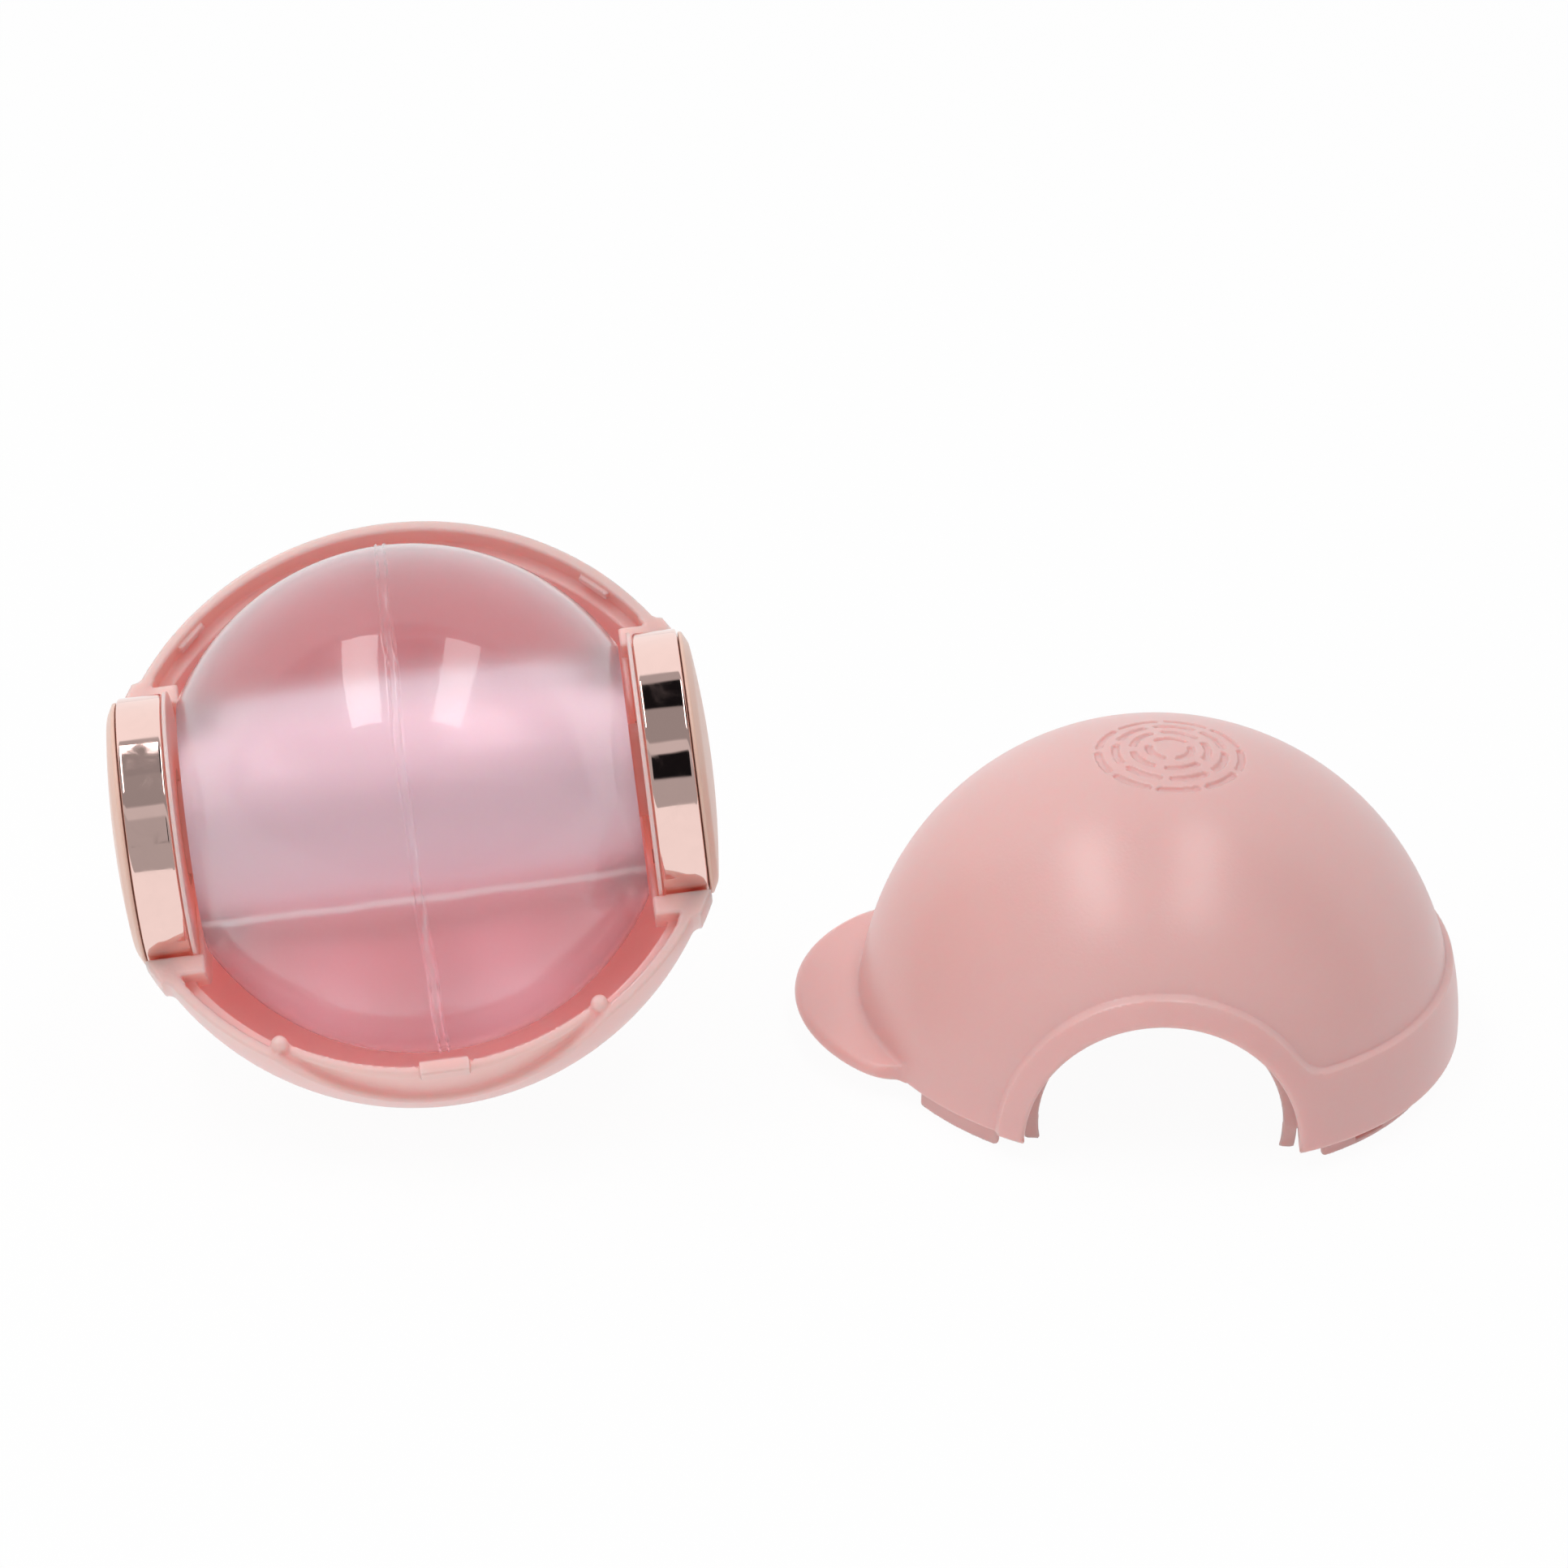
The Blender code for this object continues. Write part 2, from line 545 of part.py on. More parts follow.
def build_cover_disc(side, paint):
    """The domed disc with its spigot, hollow on the inside."""
    edge = DRUM_RADIUS - DISC_STEP
    seat = DRUM_OUTER + PRESS_GAP
    flat = edge - DISC_CHAMFER
    dome_rise = DISC_CROWN * DISC_DOME_SHARE
    spigot = RING_BORE - PRESS_GAP
    profile = [(spigot, DRUM_OUTER - SPIGOT_DEPTH), (spigot, seat), (edge, seat)]
    profile += [(edge, seat + DISC_CROWN * DISC_EDGE_SHARE), (flat, seat + DISC_CROWN - dome_rise)]
    for share in DISC_ROWS:
        radius = flat * share
        profile.append((radius, seat + DISC_CROWN - dome_rise * share ** 2))
    profile += [(0.0, seat + DISC_CROWN), (0.0, seat)]
    profile += [(spigot - DISC_WALL, seat), (spigot - DISC_WALL, DRUM_OUTER - SPIGOT_DEPTH)]
    return turned(side_name(side) + "_cover_disc", profile, side, paint, RING_STEPS)


def plate_screw_spots():
    """Centres of the two plate screws in the plane across the roller's axis."""
    spots = []
    for name, direction in (("front", -1), ("back", 1)):
        y = direction * PLATE_SCREW_RADIUS * cos(PLATE_SCREW_ANGLE)
        z = -PLATE_SCREW_RADIUS * sin(PLATE_SCREW_ANGLE)
        spots.append((name, y, z))
    return spots


def moved(item, y, z):
    for vertex in item.data.vertices:
        vertex.co.y += y
        vertex.co.z += z
    return item


def build_bearing_plate(side, paint):
    """The plate that closes the ring's inner end and carries the bush."""
    outer = RING_BORE - PRESS_GAP
    face = DRUM_INNER + PLATE_THICKNESS
    bore = BUSH_OUTER + PRESS_GAP
    collar = DRUM_INNER + COLLAR_DEPTH
    rim = DRUM_RADIUS + FLANGE_PROUD
    profile = [(bore, PLATE_INNER), (rim, PLATE_INNER), (rim, DRUM_INNER - PRESS_GAP)]
    profile += [(outer, DRUM_INNER - PRESS_GAP), (outer, collar), (outer - COLLAR_WALL, collar)]
    profile += [(outer - COLLAR_WALL, face), (bore + COLLAR_WALL, face)]
    profile += [(bore + COLLAR_WALL, DRUM_INNER + BUSH_LENGTH - BUSH_FLANGE)]
    profile += [(bore, DRUM_INNER + BUSH_LENGTH - BUSH_FLANGE)]
    plate = turned(side_name(side) + "_bearing_plate", profile, side, paint, DRUM_STEPS)
    low, high = sorted((side * (PLATE_INNER - MM), side * (face + MM)))
    for _, y, z in plate_screw_spots():
        hole = tube("hole", 0.0, PLATE_SCREW_SHANK + RUNNING_FIT, low, high, SMALL_STEPS)
        cut(plate, moved(hole, y, z))
    return tidy(plate)


def build_bush(side, paint):
    flange = BUSH_OUTER + COLLAR_WALL
    shoulder = DRUM_INNER + BUSH_LENGTH - BUSH_FLANGE + PRESS_GAP
    end = DRUM_INNER + BUSH_LENGTH
    profile = [(BUSH_BORE, PLATE_INNER), (BUSH_OUTER, PLATE_INNER), (BUSH_OUTER, shoulder)]
    profile += [(flange, shoulder), (flange, end), (BUSH_BORE, end)]
    return turned(side_name(side) + "_axle_bush", profile, side, paint, DRUM_STEPS)


def build_washer(side, paint):
    low = HUB_END + PRESS_GAP
    bore = AXLE_SCREW_SHANK + RUNNING_FIT
    profile = [(bore, low), (WASHER_RADIUS, low)]
    profile += [(WASHER_RADIUS, low + WASHER_THICKNESS), (bore, low + WASHER_THICKNESS)]
    return turned(side_name(side) + "_axle_washer", profile, side, paint, DRUM_STEPS)


def build_axle_screw(side, paint):
    """Pan-head screw that holds the hub in its bush."""
    seat = HUB_END + 2 * PRESS_GAP + WASHER_THICKNESS
    top = seat + AXLE_SCREW_HEAD_HEIGHT
    tip = seat - AXLE_SCREW_LENGTH
    shank = AXLE_SCREW_SHANK
    profile = [(0.0, tip), (shank, tip + shank), (shank, seat), (AXLE_SCREW_HEAD, seat)]
    profile += [(AXLE_SCREW_HEAD, seat + AXLE_SCREW_HEAD_HEIGHT * HEAD_SIDE_SHARE)]
    profile += [(AXLE_SCREW_HEAD * HEAD_TOP_SHARE, top), (0.0, top)]
    return turned(side_name(side) + "_axle_screw", profile, side, paint, SMALL_STEPS)


def build_plate_screw(side, spot, paint):
    """Small pan-head screw from the bearing plate into the saddle wall."""
    where, y, z = spot
    seat = DRUM_INNER + PLATE_THICKNESS + PRESS_GAP
    top = seat + PLATE_SCREW_HEAD_HEIGHT
    tip = SADDLE_INNER
    shank = PLATE_SCREW_SHANK
    profile = [(0.0, tip), (shank, tip), (shank, seat), (PLATE_SCREW_HEAD, seat)]
    profile += [(PLATE_SCREW_HEAD, seat + PLATE_SCREW_HEAD_HEIGHT * HEAD_SIDE_SHARE)]
    profile += [(PLATE_SCREW_HEAD * HEAD_TOP_SHARE, top), (0.0, top)]
    name = f"{side_name(side)}_plate_screw_{where}"
    return moved(turned(name, profile, side, paint, SMALL_STEPS), y, z)


def build_gel(paint):
    """The gel sleeve: a ball cut off flat at both ends, cast round the core."""
    end_radius = sqrt(GEL_RADIUS ** 2 - ROLLER_HALF_LENGTH ** 2)
    half = acos(end_radius / GEL_RADIUS)
    bore = CORE_RADIUS + PRESS_GAP
    profile = arc(GEL_RADIUS, -half, half, 2 * ARC_STEPS - 4)
    profile += [(bore, ROLLER_HALF_LENGTH), (bore, -ROLLER_HALF_LENGTH)]
    return turned("gel_sleeve", profile, 1, paint, RING_STEPS)


def build_core(paint):
    inner = CORE_RADIUS - CORE_WALL
    half = ROLLER_HALF_LENGTH
    profile = [(CORE_RADIUS, -half), (CORE_RADIUS, half), (inner, half), (inner, -half)]
    return turned("core_tube", profile, 1, paint, DRUM_STEPS)


def build_hub(side, paint):
    """End plug of the core with the stub that turns in the bush."""
    plug = CORE_RADIUS - CORE_WALL - PRESS_GAP
    inner = ROLLER_HALF_LENGTH - HUB_PLUG_DEPTH
    bore = AXLE_SCREW_SHANK + PRESS_GAP
    depth = HUB_END - AXLE_SCREW_LENGTH
    profile = [(0.0, inner), (plug, inner), (plug, ROLLER_HALF_LENGTH)]
    profile += [(HUB_RADIUS, ROLLER_HALF_LENGTH), (HUB_RADIUS, HUB_END)]
    profile += [(bore, HUB_END), (bore, depth), (0.0, depth)]
    return turned(side_name(side) + "_roller_hub", profile, side, paint, DRUM_STEPS)


def frame_empty(name, place, turn):
    empty = bpy.data.objects.new(name, None)
    bpy.context.scene.collection.objects.link(empty)
    empty.location = place
    empty.rotation_euler = turn
    return empty


def lowest(items):
    bpy.context.view_layer.update()
    return min((item.matrix_world @ v.co).z for item in items for v in item.data.vertices)


def centre_on_floor(frames, items):
    """Move both halves so that the whole stands on z = 0 with its middle at the origin."""
    bpy.context.view_layer.update()
    points = [item.matrix_world @ v.co for item in items for v in item.data.vertices]
    middle_x = (min(p.x for p in points) + max(p.x for p in points)) / 2
    middle_y = (min(p.y for p in points) + max(p.y for p in points)) / 2
    for frame in frames:
        frame.location.x -= middle_x
        frame.location.y -= middle_y


def main():
    clear_scene()
    pink = material("pink_abs", (0.745, 0.445, 0.425), 0.5)
    peach = material("peach_abs", (0.83, 0.55, 0.45), 0.4)
    rose_gold = material("rose_gold_plating", (0.86, 0.62, 0.56), 0.08, 1.0)
    gel = material("clear_gel", (0.72, 0.45, 0.54), 0.1, 0.0, 0.6)
    white = material("white_pom", (0.85, 0.85, 0.83), 0.4)
    steel = material("zinc_steel", (0.62, 0.62, 0.6), 0.3, 1.0)

    base_frame = frame_empty("base_frame", (0.0, 0.0, 0.0), BASE_TURN)
    cap_frame = frame_empty("cap_frame", (APART_X, APART_Y, 0.0), Euler((0.0, 0.0, CAP_TURN)))
    roller_axle = frame_empty("roller_axle", (0.0, 0.0, 0.0), Euler((0.0, 0.0, 0.0)))
    roller_axle.parent = base_frame

    shell = build_base_shell(pink)
    fixed = [shell]
    turning = [build_gel(gel), build_core(white)]
    for side in (-1, 1):
        fixed += [build_bearing_plate(side, pink), build_drum_ring(side, rose_gold)]
        fixed += [build_cover_disc(side, peach), build_bush(side, white)]
        fixed += [build_plate_screw(side, spot, steel) for spot in plate_screw_spots()]
        turning += [build_hub(side, pink), build_washer(side, steel), build_axle_screw(side, steel)]
    cap = build_cap_shell(pink)

    for item in fixed:
        item.parent = base_frame
    for item in turning:
        item.parent = roller_axle
    cap.parent = cap_frame

    base_frame.location.z = -lowest(fixed)
    cap_frame.location.z = -lowest([cap])
    centre_on_floor((base_frame, cap_frame), fixed + turning + [cap])
    bpy.context.view_layer.update()


main()
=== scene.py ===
"""Dressed model of a pocket lint ball: looks, finishes, light and camera.

The two moulded halves are drawn as fields of distance and turned into fine meshes, so
every moulded edge has its small round.  All round pieces are turned outlines, and the
screws come from a Geometry Nodes tree.
"""

from functools import reduce
from math import atan2, cos, pi, radians, sin, sqrt

import bpy
import numpy as np
from bpy.props import FloatProperty, FloatVectorProperty, IntProperty, PointerProperty
from mathutils import Euler, Matrix, Vector


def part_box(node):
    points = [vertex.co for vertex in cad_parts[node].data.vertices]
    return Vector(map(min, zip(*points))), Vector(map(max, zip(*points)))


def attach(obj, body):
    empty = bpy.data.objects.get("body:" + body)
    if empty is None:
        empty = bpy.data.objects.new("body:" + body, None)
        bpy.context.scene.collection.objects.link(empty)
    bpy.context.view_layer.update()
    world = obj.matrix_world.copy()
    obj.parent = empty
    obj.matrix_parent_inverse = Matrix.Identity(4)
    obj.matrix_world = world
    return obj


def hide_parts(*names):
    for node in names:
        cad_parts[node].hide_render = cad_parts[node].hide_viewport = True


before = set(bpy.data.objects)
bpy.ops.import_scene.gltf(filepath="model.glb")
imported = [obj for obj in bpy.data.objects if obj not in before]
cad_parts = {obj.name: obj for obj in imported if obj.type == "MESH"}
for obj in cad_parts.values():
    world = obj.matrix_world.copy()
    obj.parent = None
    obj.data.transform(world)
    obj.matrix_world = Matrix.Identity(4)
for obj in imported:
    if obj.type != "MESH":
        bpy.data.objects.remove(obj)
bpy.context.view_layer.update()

bl_info = {
    "name": "Pocket lint ball",
    "version": (1, 0, 0),
    "blender": (4, 5, 0),
    "location": "3D View > Sidebar > Lint ball",
    "description": "Gel lint roller in a ball-shaped case with a loose cap",
    "category": "Object",
}

MM = 0.001
SIDES = (("left", -1), ("right", 1))

# Lie of the lower half, as in the solid model
BASE_TURN = Euler((radians(36.9), radians(-7.5), radians(5.5)), "XYZ")
CAP_TURN = Euler((0.0, 0.0, radians(-90.0)), "XYZ")
# Up across the painted light line on the gel and the painted glow on the core, in the ball frame
PAINTED_LIGHT_UP = Vector((0.0, 0.912, 0.410))

# Field sampling: spacing of the grid in millimetres and the face budget of each half
FINE_STEP = 0.3
HALF_TRIANGLES = 190000
FIELD_ROOM = 0.6

# Facets round the gel and round small turned pieces
GEL_STEPS = 360
SMALL_STEPS = 96

# Angles from the middle of the front or of the back
FRONT_ANGLE = radians(31.8)
BACK_ANGLE = radians(44.0)
STOP_ANGLE = radians(24.5)

# Small sizes of both halves in millimetres
PRESS_GAP = 0.15
RUNNING_FIT = 0.3
SADDLE_PLATE = 0.7
SEAT_WIDTH = 2.6
SCOOP_LIP_WALL = 1.2
ARCH_ROOT = 1.45
ARCH_START = 24.0
HUB_SLOT = 6.3
FLANGE_WIDTH = 1.6
LOW_WALL_HALF = 0.74
FRONT_LIP_HEIGHT = (-4.6, -0.9)
FRONT_CATCH_HALF = 3.0
BACK_CATCH_HALF = 2.15
CATCH_BOTTOM = -1.8
BACK_CATCH_TOP = -0.6
CATCH_PLAY = 0.3
NUB_RADIUS = 1.05
NUB_HEIGHT = 0.7
TAB_RAISE = 0.15
TAB_FULLNESS = 0.78
# Place of a plate screw, front to back and up, and the radius of its hole
PLATE_SCREW_SPOT = (8.75, -6.83, 1.05)

# Rings of the motif: radius, number of arcs, filled share and turn; none lies below the start
MOTIF_RINGS = ((2.6, 3, 0.62, 0.0), (4.7, 5, 0.66, 0.3), (6.8, 7, 0.7, 0.1), (8.9, 9, 0.74, 0.25))
MOTIF_START = 20.0

# Drums: the disc, the bearing plate, and the bush measured from the hub stub
DISC_DOME_SHARE = 0.45
DISC_WALL = 1.4
DISC_HOOK = 1.6
PLATE_FLANGE = 0.5
FLANGE_PROUD = 0.2
PLATE_FLOOR = 1.3
PLATE_COLLAR = 2.6
PLATE_WALL = 1.2
BUSH_OUTER = 1.4
BUSH_COLLAR = 2.6
BUSH_END = 2.2

# Roller: the core tube, the hubs and the washers
CORE_WALL = 1.6
PLUG_DEPTH = 6.0
HUB_STUB = 2.5
SCREW_BORE = 1.45
SCREW_BORE_DEPTH = 7.0
WASHER_BORE = 1.6
WASHER_OUTER = 6.4
WASHER_THICKNESS = 0.5

SCREW_SIZES = ("Head radius", "Head height", "Shank radius", "Shank length")
AXLE_SCREW = (3.0, 1.2, 1.3, 7.6)
PLATE_SCREW = (1.9, 0.9, 0.9, 3.4)

ABS_IOR = 1.53

# The room by height, in degrees above the front: where each band ends and how bright it is
MIRRORED_BANDS = ((-6, 0.7), (39, 0.46), (49, 0.62), (78, 0.34), (104, 0.31), (114, 0.45),
                  (180, 1.05))
GAP_BANDS = ((78, 0.0), (104, 1.0), (180, 0.0))
CAMERA_BANDS = ((18, 0.0), (39, 1.0), (180, 0.0))
SOFT_BANDS = ((-6, 0.75), (60, 0.55), (115, 0.42), (180, 0.6))

# Stage in metres, and in millimetres the point that the camera looks at
PAPER_REACH = 6.0
PAPER_NEAR_EDGE = -0.45
LAMP_WIDTH = 0.25
LAMP_LENGTH = 0.85
LAMP_DISTANCE = 1.1
CAMERA_TARGET = Vector((-1.58, 67.45, 0.0))


def hex_colour(code):
    """An sRGB hex value as linear red, green and blue."""
    parts = [int(code[i:i + 2], 16) / 255.0 for i in (0, 2, 4)]
    return tuple(p / 12.92 if p <= 0.04045 else ((p + 0.055) / 1.055) ** 2.4 for p in parts)


def rgba(triple, share=1.0):
    """A colour as a shader socket takes it, darkened to a share of itself."""
    return (*(share * part for part in triple), 1.0)


WHITE = hex_colour("FFFFFF")


def length(name, description, default):
    return FloatProperty(name=name, description=description, default=default * MM,
                         min=0.0, unit="LENGTH", subtype="DISTANCE")


def colour(name, description, code):
    return FloatVectorProperty(name=name, description=description, default=hex_colour(code),
                               min=0.0, max=1.0, size=3, subtype="COLOR")


class LINTBALL_PG_case(bpy.types.PropertyGroup):
    dome_radius: length("Dome radius", "Outside of the cap's dome", 37.5)
    base_step: length("Base step", "How much larger the lower half's radius is", 0.4)
    band_height: length("Band height", "How far belt and arches stand above the dome", 0.8)
    cap_wall: length("Cap wall", "Wall of the cap's dome", 2.1)
    base_wall: length("Base wall", "Wall of the lower half", 2.9)
    rim_lip_wall: length("Rim lip", "Outer lip of the lower half", 1.4)
    skirt_depth: length("Skirt depth", "How far the cap's skirt hangs down", 2.8)
    skirt_wall: length("Skirt wall", "Wall of the cap's skirt", 1.3)
    skirt_fit: length("Skirt fit", "Play between skirt and rebate", 0.3)
    belt_height: length("Belt height", "Height of the belt round the cap's back", 10.0)
    tab_reach: length("Tab reach", "How far the thumb tab stands out", 8.0)
    tab_half_width: length("Tab half width", "Half the width of the thumb tab", 20.0)
    tab_thickness: length("Tab thickness", "Thickness of the thumb tab", 2.0)
    scoop_depth: length("Scoop depth", "Depth of the scoop under the tab", 7.0)
    motif_depth: length("Motif depth", "Depth of the ring motif on the cap", 0.35)
    motif_groove: length("Motif groove", "Width of one groove of the ring motif", 0.85)


class LINTBALL_PG_drum(bpy.types.PropertyGroup):
    radius: length("Drum radius", "Outside of the plated ring", 16.6)
    setback: length("Drum setback", "From the dome's outside in to the drum's inner face", 8.6)
    ring_width: length("Ring width", "Width of the plated ring", 5.5)
    ring_wall: length("Ring wall", "Wall of the plated ring", 1.5)
    fit: length("Drum fit", "Play between drum and arches", 0.25)
    arch_width: length("Arch width", "Width of the arch round the drum", 3.4)
    disc_crown: length("Disc crown", "How far the cover disc stands out", 2.2)
    disc_chamfer: length("Disc chamfer", "Slope round the cover disc", 1.5)
    disc_step: length("Disc step", "How much smaller the disc is than the ring", 0.45)


class LINTBALL_PG_roller(bpy.types.PropertyGroup):
    gel_play: length("Gel play", "Room between the gel and the lower half", 3.8)
    end_play: length("End play", "Room between the roller's end and the drum", 1.8)
    core_radius: length("Core radius", "Outside of the core tube", 12.0)
    hub_radius: length("Hub radius", "Radius of the hub stub", 5.7)
    seam_height: length("Seam height", "How far the moulding seam stands out", 0.16)
    seam_width: length("Seam width", "Width of the moulding seam", 0.5)
    turned_steps: IntProperty(name="Turned steps", description="Facets round a turned piece",
                              default=192, min=24, max=360)


class LINTBALL_PG_finish(bpy.types.PropertyGroup):
    shell: colour("Case pink", "Moulded ABS of both halves", "E8BBB8")
    # Painted light: the lower half gets a lighter copy of the cap's pink, for how light falls on it
    rim: colour("Rim pink", "Moulded ABS of the lower half, outside and on its rim", "EFC3BF")
    # Painted light: a lighter copy of the pink inside the bowl, under a painted coral glow
    bowl: colour("Bowl pink", "The same inside the bowl, which glows in its own colour", "F2C5C0")
    disc: colour("Disc peach", "Satin ABS of the cover discs", "EEC5B4")
    plating: colour("Rose gold", "Bright plating of the rings", "F3D2CA")
    gel: colour("Gel", "Tint of the gel's skin", "FAF0F4")
    gel_depth: colour("Gel depth", "Tint of the gel over some centimetres", "E579AA")
    core: colour("Core", "Core tube inside the gel", "E6DBDD")
    bush: colour("Bush", "Natural acetal of the bushes", "EDEDE8")
    zinc: colour("Zinc", "Zinc plating of the screws", "C9C9C6")
    floor: colour("Floor", "Pale paper under the ball", "F9F9F9")


class LINTBALL_PG_studio(bpy.types.PropertyGroup):
    camera_distance: FloatProperty(name="Camera distance", description="From the ball to the lens",
                                   default=1.0, min=0.1, unit="LENGTH", subtype="DISTANCE")
    elevation: FloatProperty(name="Elevation", description="How far the camera looks down",
                             default=radians(28.46), subtype="ANGLE")
    roll: FloatProperty(name="Roll", description="Turn of the camera about its view",
                        default=radians(1.96), subtype="ANGLE")
    lens: FloatProperty(name="Lens", description="Focal length of the camera on a 36 mm sensor",
                        default=171.56, min=10.0)
    lamp_watts: FloatProperty(name="Lamp power", description="Power of each strip lamp in watts",
                              default=3.1, min=0.0)
    sky: FloatProperty(name="Room light", description="Strength of the room's light",
                       default=1.0, min=0.0)


SETTINGS = (("lint_case", LINTBALL_PG_case), ("lint_drum", LINTBALL_PG_drum),
            ("lint_roller", LINTBALL_PG_roller), ("lint_finish", LINTBALL_PG_finish),
            ("lint_studio", LINTBALL_PG_studio))


def in_mm(group):
    """A property group's lengths as plain numbers in millimetres; a count stays a count."""
    values = {key: getattr(group, key) for key in group.__annotations__}
    return {key: value if isinstance(value, int) else value / MM for key, value in values.items()}


def base_place():
    """Ball frame of the lower half: the gel is symmetric about its origin."""
    low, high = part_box("gel_sleeve")
    return Matrix.Translation((low + high) / 2) @ BASE_TURN.to_matrix().to_4x4()


def cap_place(case):
    """Ball frame of the cap: it stands on its skirt, with the tab towards -X."""
    low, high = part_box("cap_shell")
    x = high.x - case.dome_radius - case.band_height
    origin = Vector((x, (low.y + high.y) / 2, low.z + case.skirt_depth))
    return Matrix.Translation(origin) @ CAP_TURN.to_matrix().to_4x4()


# Fields of distance, in millimetres and in the ball frame


def common(*bodies):
    """Where all the bodies are, with sharp edges."""
    return reduce(np.maximum, bodies)


def meet(a, b, soft=0.3):
    """Where both bodies are: their edge is rounded by about soft."""
    return np.maximum(a, b) + np.square(np.maximum(soft - np.abs(a - b), 0.0)) / (4.0 * soft)


def join(a, b, soft=0.3):
    """Both bodies together, with a fillet where they meet."""
    return -meet(-a, -b, soft)


def less(a, b, soft=0.3):
    """The first body with the second cut out of it."""
    return meet(a, -b, soft)


def slab(value, low, high):
    """Between two stations."""
    return np.maximum(low - value, value - high)


def block(along, out, z, half_length, reach, height):
    """A box: its half length, from where to where it reaches out, its bottom and its top."""
    return common(np.abs(along) - half_length, slab(out, *reach), slab(z, *height))


def step_down(value, half_width):
    """1 well inside a region, 0 well outside, with a smooth flank of that half width."""
    share = np.clip(0.5 - value / (2.0 * half_width), 0.0, 1.0)
    return share * share * (3.0 - 2.0 * share)


def distances(x, y, z):
    """From the middle plane, the ball's upright axis, its middle and the roller's axis."""
    ring = np.sqrt(x * x + y * y)
    return np.abs(x), ring, np.sqrt(ring * ring + z * z), np.sqrt(y * y + z * z)


def beside(ax, y, angle):
    """Coordinates along and out from the axis at a spot, by its angle from the +Y side."""
    return ax * cos(angle) - y * sin(angle), ax * sin(angle) + y * cos(angle)


class BallGauge:
    """The sizes that both halves share, worked out once in millimetres."""

    def __init__(self, scene):
        c, d = in_mm(scene.lint_case), in_mm(scene.lint_drum)
        self.dome = c["dome_radius"]
        self.base = self.dome + c["base_step"]
        self.band = c["band_height"]
        self.base_inner = self.base - c["base_wall"]
        self.cap_inner = self.dome - c["cap_wall"]
        self.rebate = self.base - c["rim_lip_wall"]
        self.skirt_depth = c["skirt_depth"]
        self.rebate_depth = c["skirt_depth"] + c["skirt_fit"]
        self.skirt_outer = self.rebate - c["skirt_fit"]
        self.skirt_inner = self.skirt_outer - c["skirt_wall"]
        self.belt = c["belt_height"]
        self.tab = (c["tab_reach"], c["tab_half_width"], c["tab_thickness"])
        self.scoop = c["scoop_depth"]
        self.motif = (c["motif_depth"], c["motif_groove"])
        self.drum = d["radius"]
        self.notch = d["radius"] + d["fit"]
        self.arch = self.notch + d["arch_width"]
        self.drum_inner = self.dome - d["setback"]
        self.plate_inner = self.drum_inner - PRESS_GAP - PLATE_FLANGE
        self.wall_outer = self.plate_inner - PRESS_GAP
        self.wall_inner = self.wall_outer - SADDLE_PLATE


def base_field(g):
    """The lower half: bowl, stepped rim, scoop with its lip, drum seats and catches."""
    lip_outer = g.base_inner + SCOOP_LIP_WALL
    half_width = g.base * sin(FRONT_ANGLE)
    scoop_radius = (half_width ** 2 + g.scoop ** 2) / (2.0 * g.scoop)
    lip_angle = FRONT_ANGLE + radians(1.0)
    nub_angle = FRONT_ANGLE + radians(1.2)
    nub_ring = (g.rebate + g.base_inner) / 2.0
    screw_y, screw_z, screw_hole = PLATE_SCREW_SPOT

    def field(x, y, z):
        ax, ring, r, q = distances(x, y, z)
        sides = g.wall_inner - ax
        through = slab(ax, g.wall_inner - 1, g.wall_outer + 1)
        shell = common(r - g.base, g.base_inner - r)
        shell = less(shell, meet(ring - g.rebate, -g.rebate_depth - z))
        # Arch round each drum and the wall that carries it
        arch = common(slab(r, g.base - ARCH_ROOT, g.base + g.band), q - g.arch, sides)
        shell = join(shell, arch, 0.7)
        seat = meet(common(q - g.notch - SEAT_WIDTH, sides), r - g.base - g.band / 2.0, 0.4)
        shell = join(shell, seat, 0.5)
        # Front lip and the scoop over it
        lip = common(slab(ring, g.base_inner, lip_outer + 0.8), slab(z, *FRONT_LIP_HEIGHT))
        sector = ax * cos(lip_angle) + y * sin(lip_angle)
        shell = join(shell, common(lip, sector))
        bar = np.sqrt(x * x + np.square(z - scoop_radius + g.scoop)) - scoop_radius
        shell = less(shell, meet(common(bar, y + g.dome / 2.0), lip_outer - ring, 0.6), 0.7)
        shell = meet(shell, z, 0.45)
        # Drum notch, low wall beside it, slot for the hub and screw holes
        shell = less(shell, meet(q - g.notch, g.wall_outer - ax), 0.5)
        low_wall = common(np.abs(ax - g.wall_outer) - LOW_WALL_HALF, np.abs(y) - g.notch,
                          -g.rebate_depth - z)
        shell = less(shell, low_wall, 0.35)
        shell = less(shell, common(q - HUB_SLOT, through))
        screw = np.sqrt(np.square(np.abs(y) - screw_y) + np.square(z - screw_z)) - screw_hole
        shell = less(shell, common(screw, through), 0.1)
        # Rounded nubs, front catch and back catches
        nub_x, nub_y = nub_ring * sin(nub_angle), nub_ring * cos(nub_angle)
        post = np.sqrt(np.square(ax - nub_x) + np.square(y + nub_y))
        nub = common(meet(post - NUB_RADIUS, z - NUB_HEIGHT, 1.1), -g.rebate_depth - 1.0 - z)
        shell = join(shell, nub, 0.35)
        catch = block(ax, -y, z, FRONT_CATCH_HALF, (g.base_inner - 0.4, lip_outer + 0.3),
                      (CATCH_BOTTOM, 0.0))
        shell = join(shell, catch, 0.2)
        along, out = beside(ax, y, BACK_ANGLE)
        hook = block(along, out, z, BACK_CATCH_HALF, (g.rebate - 0.7, g.rebate + 0.4),
                     (CATCH_BOTTOM, BACK_CATCH_TOP))
        return join(shell, common(hook, -y), 0.15)

    return field


